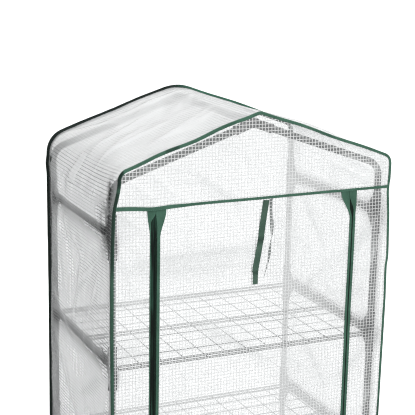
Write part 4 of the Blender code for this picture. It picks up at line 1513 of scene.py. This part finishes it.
# ------------------------------------------------------------ tapes and stitches
def stitches(geo, path, along, normal, slot=1):
    """Row of thread stitches, each a low arched bead whose ends dip into the cloth."""
    pitch, length, r = 0.0046, 0.0031, 0.00028
    along, normal = (np.broadcast_to(q, path.shape) for q in (along, normal))
    # stations of a bead: place along it, lift, width
    bead = ((-1.0, -0.9, 0.55), (-0.55, 0.25, 1.0), (0.0, 0.5, 1.08), (0.55, 0.25, 1.0),
            (1.0, -0.9, 0.55))
    faces = [(3, 2, 1, 0), (16, 17, 18, 19)]
    faces += [(i * 4 + j, i * 4 + (j + 1) % 4, i * 4 + 4 + (j + 1) % 4, i * 4 + 4 + j)
              for i in range(4) for j in range(4)]
    run = lengths(path)
    s = pitch / 2
    while s < run[-1] - pitch / 2:
        k = min(max(np.searchsorted(run, s) - 1, 0), len(path) - 2)
        f = (s - run[k]) / max(run[k + 1] - run[k], 1e-9)
        p, t, n = (q[k] * (1 - f) + q[k + 1] * f for q in (path, along, normal))
        t, n = t / np.linalg.norm(t), n / np.linalg.norm(n)
        b = np.cross(t, n)
        verts = []
        for place_on, lift, width in bead:
            c = p + t * place_on * length / 2 + n * lift * r
            verts += [c + b * r * width * math.cos(a) + n * r * width * math.sin(a)
                      for a in (0.0, math.pi / 2, math.pi, 1.5 * math.pi)]
        geo.add(verts, faces, [(0, 0)] * 20, slot)
        s += pitch


# Section of the tape folded round each end panel, in mm: out from the cover's outline,
# inward from the end panel.  The back one is rolled thicker and stands up.
FRONT_TAPE_SECTION = (
    (0.35, 4.0), (0.70, 4.2), (1.05, 3.8), (1.2, 2.6), (1.15, 1.3), (1.2, 0.2), (1.0, -0.9),
    (0.3, -1.45), (-1.2, -1.45), (-3.1, -1.5), (-4.8, -1.45), (-5.4, -1.1), (-5.3, -0.55),
    (-4.8, -0.35), (-2.6, -0.32), (-0.2, -0.32), (0.3, 0.1), (0.33, 2.2))
BACK_TAPE_SECTION = (
    (0.35, 9.0), (0.80, 9.3), (1.4, 8.6), (1.7, 6.0), (2.4, 4.2), (4.4, 3.0), (5.6, 1.0),
    (5.2, -0.8), (3.4, -1.7), (0.6, -1.6), (-3.5, -1.5), (-6.6, -1.45), (-7.2, -1.1),
    (-7.1, -0.55), (-6.6, -0.35), (-3.0, -0.32), (-0.2, -0.32), (0.3, 0.1), (0.33, 4.4))


def folded_tape(geo, path, outward, inward, tape_section, seed):
    """Carries the closed tape section along the path, with a slight wobble."""
    wobble_out, wobble_in, scale = 0.0006, 0.00016, 0.05
    profile = np.array([(a * MM, b * MM) for a, b in tape_section])
    run = lengths(path)
    around = np.concatenate(
        [[0], np.cumsum(np.linalg.norm(np.roll(profile, -1, 0) - profile, axis=1))])[:-1]
    slow = value_noise(run / scale, 0.5, seed)
    fast = value_noise(run / (scale * 0.45), 9.5, seed + 1)
    out, deep = profile[None, :, 0], profile[None, :, 1]
    a = out + (wobble_out * (0.65 * slow + 0.35 * fast))[:, None] * (np.abs(out) > 0.002)
    b = deep + (wobble_in * fast)[:, None] * (np.abs(deep) > 0.0009)
    pts = path[:, None] + outward[:, None] * a[..., None] + inward * b[..., None]
    uv = np.stack(np.meshgrid(run, around, indexing="ij"), -1)
    geo.grid(pts, uv, wrap=True, caps=True)


def front_tape_shade(x, z):
    """Painted shade: darker lengths where the tape twists or folds over, in patches, and down the
    left wall leg.
    """
    darkening = 1.1 * ease((z - 1.108) / 0.006) * ease((-0.318 - x) / 0.006)
    darkening = darkening + 0.75 * ease((0.022 - np.abs(x + 0.210)) / 0.010) * ease((z - 1.1) / 0.02)
    left_wall = ((0.42 + 0.55 * ease((z - 0.90) / 0.05)) * ease((-0.31 - x) / 0.01)
                 * ease((1.11 - z) / 0.01))
    patches = 0.45 * ease(value_noise(x * 9 + z * 6, z * 5, 12) * 1.6 - 0.45)
    return darkening + patches + left_wall


def back_tape_darkening(x, z):
    # darker in random patches over the left half
    return 0.55 * ease(value_noise(x * 9, z * 5, 13) * 1.6 - 0.3) * ease((0.02 - x) / 0.05)


def edge_tape(name, outline, normals, y, end, tape_section, seed, darkening, mats, side_row, node,
              slot):
    """Tape folded round the edge of an end panel: one leg on the wall, one on the panel.

    side_row is how far out and how far in from the panel the wall leg's stitches lie."""
    path = points(outline[:, 0], y, outline[:, 1])
    outward = points(normals[:, 0], 0.0, normals[:, 1])
    panel_out = np.array([0.0, end, 0.0])
    geo = Geo()
    folded_tape(geo, path, outward, np.array([0.0, -end, 0.0]), tape_section, seed)
    x, _, z = np.array(geo.verts).T
    geo.crease = list(darkening(x, z))
    along = tangents(path)
    stitches(geo, path + outward * (-0.0040) + panel_out * 0.00155, along, panel_out)
    stitches(geo, path + outward * side_row[0] - panel_out * side_row[1], along, outward)
    place(geo.make(name, mats, sharp=55), "frame", slot, node)


def ribbon(geo, path, wide, out, half, thick, slot=0, across=6):
    """Flat tape with rounded edges; wide and out are its unit vectors."""
    wide, out = (np.broadcast_to(q, path.shape) for q in (wide, out))
    half = np.broadcast_to(np.asarray(half, float), (len(path),))
    stations = np.linspace(-1, 1, across)
    profile = np.array([(-1.02, 0.0)] + [(x, 1.0) for x in stations] + [(1.02, 0.0)]
                       + [(x, -1.0) for x in stations[::-1]])
    a = profile[None, :, 0] * half[:, None]
    b = np.repeat(profile[None, :, 1] * thick / 2, len(path), 0)
    pts = path[:, None] + wide[:, None] * a[..., None] + out[:, None] * b[..., None]
    run = np.repeat(lengths(path)[:, None], len(profile), 1)
    geo.grid(pts, np.stack([run, a], -1), slot, wrap=True, caps=True)


def build_hem():
    """Binding across the front, between the gable and the door."""
    reach = HALF_W - 0.006
    x = np.linspace(-reach, reach, 150)
    path = points(x, FRONT - 0.0021, HEM_Z + hem_drop(x) + 0.0004 * value_noise(x * 30, 3, 5))
    half = np.interp(x, [-0.345, -0.215, -0.16, 0.30, 0.345],
                     [0.0045, 0.0043, 0.0031, 0.0029, 0.0036])
    geo = Geo()
    ribbon(geo, path, Z_AXIS, FRONTWARD, half, 0.0012, across=7)
    row = Z_AXIS * (half * 0.62)[:, None]
    for offset in (row, -row):
        stitches(geo, path + FRONTWARD * 0.0006 + offset, X_AXIS, FRONTWARD)
    place(geo.make("hem_binding", [BINDING, THREAD], sharp=55), "frame", "binding")


SKIRT_HALF, SKIRT_THICK = 0.0045, 0.0009


def build_skirt():
    """Bound lower edge of walls, back and strips."""
    geo = Geo()
    z = SKIRT_Z + 0.0050
    for side in (-1, 1):
        y = np.linspace(FRONT + 0.009, BACK - 0.009, 60)
        x = np.array([edge_x(section(depth)[0], z, side) for depth in y]) + side * 0.0007
        ribbon(geo, points(x, y, z), Z_AXIS, side * X_AXIS, SKIRT_HALF, SKIRT_THICK)
    x = np.linspace(-HALF_W + 0.010, HALF_W - 0.010, 80)
    ribbon(geo, points(x, BACK + 0.0008, z), Z_AXIS, -FRONTWARD, SKIRT_HALF, SKIRT_THICK)
    for side in (-1, 1):
        x = np.linspace(side * 0.2620, side * (HALF_W - 0.010), 16)
        ribbon(geo, points(x, FRONT - 0.0008, z), Z_AXIS, FRONTWARD, SKIRT_HALF, SKIRT_THICK)
    place(geo.make("skirt_binding", [BINDING], sharp=55), "frame", "binding")


def build_door_bottom():
    geo = Geo()
    path = points(np.linspace(-0.2362, 0.2362, 60), FRONT - 0.0008, DOOR_Z + 0.0046)
    ribbon(geo, path, Z_AXIS, FRONTWARD, SKIRT_HALF, SKIRT_THICK)
    stitches(geo, path + np.array([0, -0.0005, 0.0028]), X_AXIS, FRONTWARD)
    place(geo.make("door_bottom_binding", [BINDING, THREAD], sharp=55), "door", "binding")


# ------------------------------------------------------------ zips
# (left zip, door half): zip tape width; bound edge from, to; height where it starts to
# close over the coil, run of that closing; width of the funnel patch at the top
ZIP_HALVES = {(True, True): (0.0065, 0.0030, 0.0100, 1.026, 0.030, 0.0240),
              (True, False): (0.0128, 0.0115, 0.0138, 1.036, 0.022, 0.0200),
              (False, True): (0.0060, 0.0012, 0.0074, 1.030, 0.026, 0.0215),
              (False, False): (0.0060, 0.0014, 0.0080, 1.030, 0.026, 0.0200)}
TOOTH_PITCH = 0.0017
TEETH_TOP = 1.000


def coil_x(left, z):
    """The coil's line sways; at the top the right one bends towards the door."""
    sway = 0.0008 * value_noise(z * 7, 2.5, 3 if left else 8)
    if left:
        return -0.2472 + sway
    return 0.2462 + sway + np.interp(z, [1.000, 1.012, 1.030, 1.050, 1.066],
                                     [0.0, -0.0012, -0.0052, -0.0100, -0.0115])


def tooth(geo, centre, half):
    """Small block with cut corners."""
    s = 1 - 0.35
    ring = [(s, 1), (1, s), (1, -s), (s, -1), (-s, -1), (-1, -s), (-1, s), (-s, 1)]
    verts = [centre + half * np.array([x, y, z]) for z in (-1, 1) for x, y in ring]
    faces = [tuple(range(7, -1, -1)), tuple(range(8, 16))]
    faces += [(i, (i + 1) % 8, 8 + (i + 1) % 8, 8 + i) for i in range(8)]
    geo.add(verts, faces, [(p[0] + p[1], p[2]) for p in verts], 2)


def zip_half(side, door_side):
    """One half of a zip: bound green edge, black zip tape, coil, funnel patch on top."""
    left = side < 0
    way = -side if door_side else side  # from the coil out over this half
    tape_w, edge_from, edge_to, close_z, close_run, funnel = ZIP_HALVES[left, door_side]
    foot = DOOR_Z + 0.001 if door_side else SKIRT_Z + 0.0005
    z = np.concatenate([np.linspace(foot, 0.93, 90), np.linspace(0.935, HEM_Z - 0.0010, 30)])
    tuck = ease((z - 1.052) / 0.008) * 0.0006          # the top ends lie under the hem
    coil = coil_x(left, z)
    geo = Geo()
    x = coil + way * (0.0001 + tape_w) / 2
    ribbon(geo, points(x, FRONT - 0.0009 + tuck * 0.4, z + hem_warp(x, z)), X_AXIS,
           FRONTWARD, (tape_w - 0.0001) / 2, 0.0007, slot=1, across=5)

    # bound edge sewn over the zip tape, widening to the funnel patch
    flare = ease((z - 1.000) / 0.062)
    inner = edge_from + (0.0003 - edge_from) * ease((z - close_z) / close_run)
    if not left:
        inner = inner + 0.0036 * bell((z - 1.022, 0.014))
    outer = edge_to + (funnel - edge_to) * flare
    x = coil + way * ((inner + outer) / 2)
    half = (outer - inner) / 2
    path = points(x, FRONT - 0.0014 + tuck, z + hem_warp(x, z))
    ribbon(geo, path, X_AXIS, FRONTWARD, half, 0.0008)
    seam = path + X_AXIS * (way * (half - 0.0012))[:, None] + FRONTWARD * 0.0004
    stitches(geo, seam[z < 1.058], Z_AXIS, FRONTWARD, slot=3)

    tooth_half = np.array([0.0013 if left else 0.0009, 0.00055, 0.00052])
    for k in range(int((TEETH_TOP - foot) / TOOTH_PITCH)):
        z = foot + 0.004 + (k + (0.5 if door_side else 0.0)) * TOOTH_PITCH
        x = float(coil_x(left, z)) + way * (0.0011 if left else 0.0008)
        tooth(geo, np.array([x, FRONT - 0.0016, z + float(hem_warp(x, z))]), tooth_half)

    side_name = "left" if left else "right"
    name = "zip_%s_%s_half" % (side_name, "door" if door_side else "strip")
    obj = geo.make(name, [BINDING, ZIP_TAPE, TEETH, THREAD], sharp=50)
    if door_side:
        bend_with_door(obj)
    else:
        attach(obj, "frame")
        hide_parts("zip_" + side_name)


# slider plate, wider at the top, and its edge rails: fractions of width and height
SLIDER_OUTLINE = (
    (-0.34, -0.5), (0.34, -0.5), (0.42, -0.30), (0.40, 0.05), (0.5, 0.42), (0.42, 0.5),
    (0.14, 0.5), (0.06, 0.40), (-0.06, 0.40), (-0.14, 0.5), (-0.42, 0.5), (-0.5, 0.42),
    (-0.40, 0.05), (-0.42, -0.30))
SLIDER_RAILS = (((-0.46, -0.36), (-0.34, -0.36), (-0.34, 0.36), (-0.47, 0.36)),
                ((0.34, -0.36), (0.46, -0.36), (0.47, 0.36), (0.34, 0.36)))


def pull_tab_mesh(name, x, eye_z, low, high):
    """Tapered plate with an eye at the top and raised grip bars below."""
    width, thick, y = high.x - low.x, high.y - low.y, ((low + high) / 2).y
    outline = []
    for a in np.linspace(0, math.pi, 9):
        outline.append((0.42 * width * math.cos(a),
                        high.z - 0.42 * width + 0.42 * width * math.sin(a)))
    outline += [(-0.30 * width, high.z - 0.0085), (-0.46 * width, high.z - 0.0130)]
    for a in np.linspace(math.pi, 2 * math.pi, 9):
        outline.append((0.5 * width * math.cos(a),
                        low.z + 0.5 * width * 0.8 + 0.5 * width * 0.8 * math.sin(a)))
    outline += [(0.46 * width, high.z - 0.0130), (0.30 * width, high.z - 0.0085)]
    plate = prism([(x + a, y, z) for a, z in outline], (0, 1, 0), thick / 2)
    eye = lathe([(0.0017, -0.003), (0.0017, 0.003)], (0, 1, 0), 24, centre=(x, y, eye_z), fin=0)
    grips = []
    for k in range(5):
        z, face_y = low.z + 0.0045 + k * 0.0022, low.y + 0.0002
        bar = ((-0.0026, z), (0.0026, z), (0.0026, z + 0.0009), (-0.0026, z + 0.0009))
        grips.append(prism([(x + a, face_y, b) for a, b in bar], (0, 1, 0), 0.0003))
    return carve(name, plate, grips, [eye], ENAMEL)


def build_slider(side_name):
    node = "zip_slider_" + side_name
    low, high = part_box(node)
    centre = (low + high) / 2
    height, width, rear = high.z - low.z, high.x - low.x, high.y

    def plate(outline, inset, half):
        return prism([(centre.x + a * width, rear - inset, centre.z + b * height)
                      for a, b in outline], (0, 1, 0), half)

    body = "slider_" + side_name
    rails = [plate(outline, 0.0013, 0.0013) for outline in SLIDER_RAILS]
    mesh = carve(node + "_body", plate(SLIDER_OUTLINE, 0.0010, 0.0008), rails, [], ENAMEL)
    obj = link_object(body, mesh)

    # bridge over the front of the plate that holds the pull tab
    pull_low, pull_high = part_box("zip_pull_" + side_name)
    pivot_y, pivot_z = (pull_low.y + pull_high.y) / 2, pull_high.z - 0.0009
    plate_y = rear - 0.0018
    path = [(plate_y, -0.0085), (plate_y - 0.0014, -0.0080), (pivot_y - 0.0013, -0.0050),
            (pivot_y - 0.0017, -0.0012), (pivot_y - 0.0014, 0.0022),
            (plate_y - 0.0012, 0.0038), (plate_y, 0.0036)]
    geo = Geo()
    rod(geo, [(centre.x, y, pivot_z + rise) for y, rise in path], (1, 0, 0), 0.00075,
        domed=False)
    bridge = geo.make("slider_bridge_" + side_name, [ENAMEL], sharp=50)
    place(obj, body, "slider", node)
    place(bridge, body, "slider")

    pull = "pull_" + side_name
    mesh = pull_tab_mesh(pull, centre.x, pivot_z - 0.0009, pull_low, pull_high)
    tab = link_object("pull_tab_" + side_name, mesh)
    place(tab, pull, "slider", "zip_pull_" + side_name)


# ------------------------------------------------------------ tie straps
STRAP_THICK = 0.0009


def strap_frame(path):
    """Tangents, frontward normals and widths of a hanging strap."""
    along = tangents(path)
    out = unit(FRONTWARD - along * (along @ FRONTWARD)[:, None])
    return along, out, np.cross(out, along)


def build_outer_strap():
    """Hangs askew in front of the door, folded over twice."""
    low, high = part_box("tie_strap_outer")
    mid_y, top = (low.y + high.y) / 2, high.z + 0.0012
    z = np.concatenate([np.linspace(low.z, 0.888, 8), np.linspace(0.892, 0.902, 5),
                        np.linspace(0.908, 0.960, 12), np.linspace(0.963, 0.982, 8),
                        np.linspace(0.988, top, 16)])
    x = np.interp(z, [0.860, 0.888, 0.897, 0.967, 1.020, 1.0605],
                  [-0.0045, -0.0045, -0.0060, 0.0060, 0.0125, 0.0180])
    roll = np.interp(z, [0.86, 0.888, 0.900, 0.958, 0.972, 0.985, 1.05],
                     [0.10, 0.12, -0.16, -0.10, 0.42, 0.10, 0.0])
    half = np.interp(z, [0.86, 0.886, 0.899, 0.96, 0.973, 0.99, 1.06],
                     [0.0064, 0.0063, 0.0076, 0.0073, 0.0080, 0.0076, 0.0075])
    bulge = 0.0012 * bell((z - 0.897, 0.006)) + 0.0010 * bell((z - 0.973, 0.007))
    sway = 0.0010 * np.sin((z - 0.86) * 26) * ease((top - z) / 0.03)
    y = np.minimum(mid_y - 0.0002 - bulge - sway, mid_y + 0.0002)
    path = points(x, y, z + hem_drop(0.01) * ease((z - 0.98) / 0.08))
    along, out, wide = strap_frame(path)
    c, s = np.cos(roll * 0.35)[:, None], np.sin(roll * 0.35)[:, None]
    wide = unit(wide * c + out * s * 0.5)
    out = np.cross(along, wide) * -1.0
    geo = Geo()
    ribbon(geo, path, wide, out, half, STRAP_THICK, across=7)
    height = np.array(geo.verts)[:, 2]
    # painted shade: darker at the two folds and over the top of the strap
    geo.crease = list(0.55 * ease(1 - np.abs(height - 0.968) / 0.014)
                      + 0.5 * ease(1 - np.abs(height - 0.893) / 0.007)
                      + 0.22 * ease((height - 1.00) / 0.05))
    # folded-over tail
    tail = (z > 0.892) & (z < 0.978)
    ribbon(geo, path[tail] + out[tail] * 0.0010, wide[tail], out[tail], half[tail] - 0.0006,
           0.0007)
    place(geo.make("strap_outer", [STRAP], sharp=55), "tie_outer", "strap", "tie_strap_outer")


def build_inner_strap():
    """Hangs twisted just inside the film."""
    low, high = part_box("tie_strap_inner")
    mid_y, top = (low.y + high.y) / 2, high.z
    z = np.linspace(0.872, top, 56)
    x = np.interp(z, [0.872, 0.905, 0.94, 0.972, 1.02, 1.0605],
                  [0.0260, 0.0350, 0.0395, 0.0440, 0.0400, 0.0345])
    twist = np.interp(z, [0.872, 0.93, 0.965, 0.995, 1.04, 1.0605],
                      [1.15, 0.60, 0.95, 0.45, 0.70, 0.3])
    half = np.interp(z, [0.872, 0.90, 1.05, 1.0605], [0.0052, 0.0068, 0.0068, 0.0075])
    path = points(x, mid_y + 0.0016 + 0.0040 * ease((top - z) / 0.06),
                  z + hem_drop(0.04) * ease((z - 0.98) / 0.08))
    along, out, wide = strap_frame(path)
    wide = wide * np.cos(twist)[:, None] + out * np.sin(twist)[:, None]
    # keep the turned edge clear of the film in front
    path[:, 1] += np.abs(np.sin(twist)) * half
    geo = Geo()
    ribbon(geo, path, wide, np.cross(wide, along), half, STRAP_THICK, across=7)
    # painted shade: the whole strap is darkened
    geo.crease = [0.75] * len(geo.verts)
    place(geo.make("strap_inner", [STRAP], sharp=55), "tie_inner", "strap", "tie_strap_inner")


build_sides_roof()
build_front()
build_back()
build_door()
edge_tape("edge_binding_front", FRONT_OUTLINE, FRONT_NORMALS, FRONT, end=-1,
          tape_section=FRONT_TAPE_SECTION, seed=3, darkening=front_tape_shade,
          mats=[BINDING, THREAD], side_row=(0.00122, 0.0028), node="binding_front",
          slot="binding")
edge_tape("edge_binding_back", BACK_OUTLINE, BACK_NORMALS, BACK, end=1,
          tape_section=BACK_TAPE_SECTION, seed=6, darkening=back_tape_darkening,
          mats=[BACK_TAPE, DARK_THREAD], side_row=(0.00160, 0.0072), node="binding_back",
          slot="back_binding")
build_hem()
build_skirt()
build_door_bottom()
for side in (-1, 1):
    zip_half(side, door_side=False)
    zip_half(side, door_side=True)
build_slider("left")
build_slider("right")
build_outer_strap()
build_inner_strap()


# ------------------------------------------------------------ studio
def build_floor():
    """Wide round sheet of paper just below z = 0."""
    seg = 96
    angles = np.arange(seg) * 2 * math.pi / seg
    pts = np.array([[(r * math.cos(a), r * math.sin(a), -0.0005) for a in angles]
                    for r in (0.4, 1.0, 3.0, 12.0, 70.0)])
    geo = Geo()
    geo.grid(pts, pts[..., :2], wrap=True)
    geo.face(range(seg), [(0, 0)] * seg)
    tree = new_tree("studio_floor")
    pos = tree.position()
    colour = tree.mix(tree.noise(pos, scale=3.0, detail=4), (0.845, 0.85, 0.855),
                      (0.865, 0.868, 0.87))
    # near white for the camera, but throws back less light
    camera_ray = tree.node("LightPath").outputs["Is Camera Ray"]
    colour = tree.mix(camera_ray, (0.50, 0.505, 0.51), colour)
    grain = tree.noise(pos, scale=700, detail=2)
    paper = tree.principled(
        Base_Color=colour, Roughness=0.75, Specular_IOR_Level=0.1,
        Normal=tree.bump(grain, strength=0.05, distance=0.0002),
        Emission_Color=(1.0, 1.0, 1.0), Emission_Strength=tree.mul(camera_ray, 0.30))
    geo.make("studio_floor", [paper], sharp=None)


def build_world():
    """Light that is brightest from the upper right; plain white for the camera."""
    scene.world = bpy.data.worlds.new("studio")
    tree = Tree(scene.world, "OutputWorld")
    camera_ray = tree.node("LightPath").outputs["Is Camera Ray"]
    bright_side = Vector((0.62, -0.30, 0.72)).normalized()
    toward = tree.vector("DOT_PRODUCT", tree.node("TexCoord").outputs["Generated"], bright_side)
    strength = tree.ramp(toward, over=(-0.80, 0.90), to=(0.26, 1.38))
    light = tree.shader("Background", Color=(1.0, 1.0, 1.0), Strength=strength)
    backdrop = tree.shader("Background", Color=(0.995, 0.997, 1.0), Strength=1.0)
    tree.finish(tree.mix_shader(camera_ray, light, backdrop))


def area_light(name, location, target, size, energy):
    data = bpy.data.lights.new(name, "AREA")
    data.shape = "RECTANGLE"
    data.size, data.size_y = size
    data.energy = energy
    data.color = (1, 1, 1)
    obj = link_object(name, data)
    obj.location = location
    aim = Vector(target) - Vector(location)
    obj.rotation_euler = aim.to_track_quat("-Z", "Y").to_euler()


def build_camera():
    """Looks down from the front left, rolled slightly."""
    data = bpy.data.cameras.new("camera")
    camera = link_object("camera", data)
    data.lens, data.sensor_width, data.sensor_fit = 99.87, 36.0, "HORIZONTAL"
    data.clip_end = 200.0
    data.clip_start = 0.02
    location = (-1.143, -2.476, 1.640)
    pan, tilt, roll = math.radians(24.47), math.radians(13.42), math.radians(1.02)
    forward = Vector((math.sin(pan) * math.cos(tilt), math.cos(pan) * math.cos(tilt),
                      -math.sin(tilt)))
    right = Vector((math.cos(pan), -math.sin(pan), 0))
    up = right.cross(forward)
    rolled_right = right * math.cos(roll) + up * math.sin(roll)
    rolled_up = -right * math.sin(roll) + up * math.cos(roll)
    turn = Matrix((rolled_right, rolled_up, -forward)).transposed().to_4x4()
    camera.matrix_world = Matrix.Translation(location) @ turn
    scene.camera = camera


build_floor()
build_world()
area_light("key_softbox", location=(0.9, -2.6, 3.4), target=(0, 0, 0.8), size=(1.8, 1.4),
           energy=66)
area_light("left_strip", location=(-2.4, -1.6, 1.7), target=(-0.3, -0.1, 0.95),
           size=(0.35, 1.3), energy=9)
build_camera()

scene.cycles.filter_width = 1.15
scene.view_settings.view_transform = "Standard"
scene.view_settings.look = "None"
scene.cycles.transparent_max_bounces = 24
scene.cycles.max_bounces = 12
scene.cycles.diffuse_bounces = 5
scene.cycles.transmission_bounces = 8

bpy.context.view_layer.update()
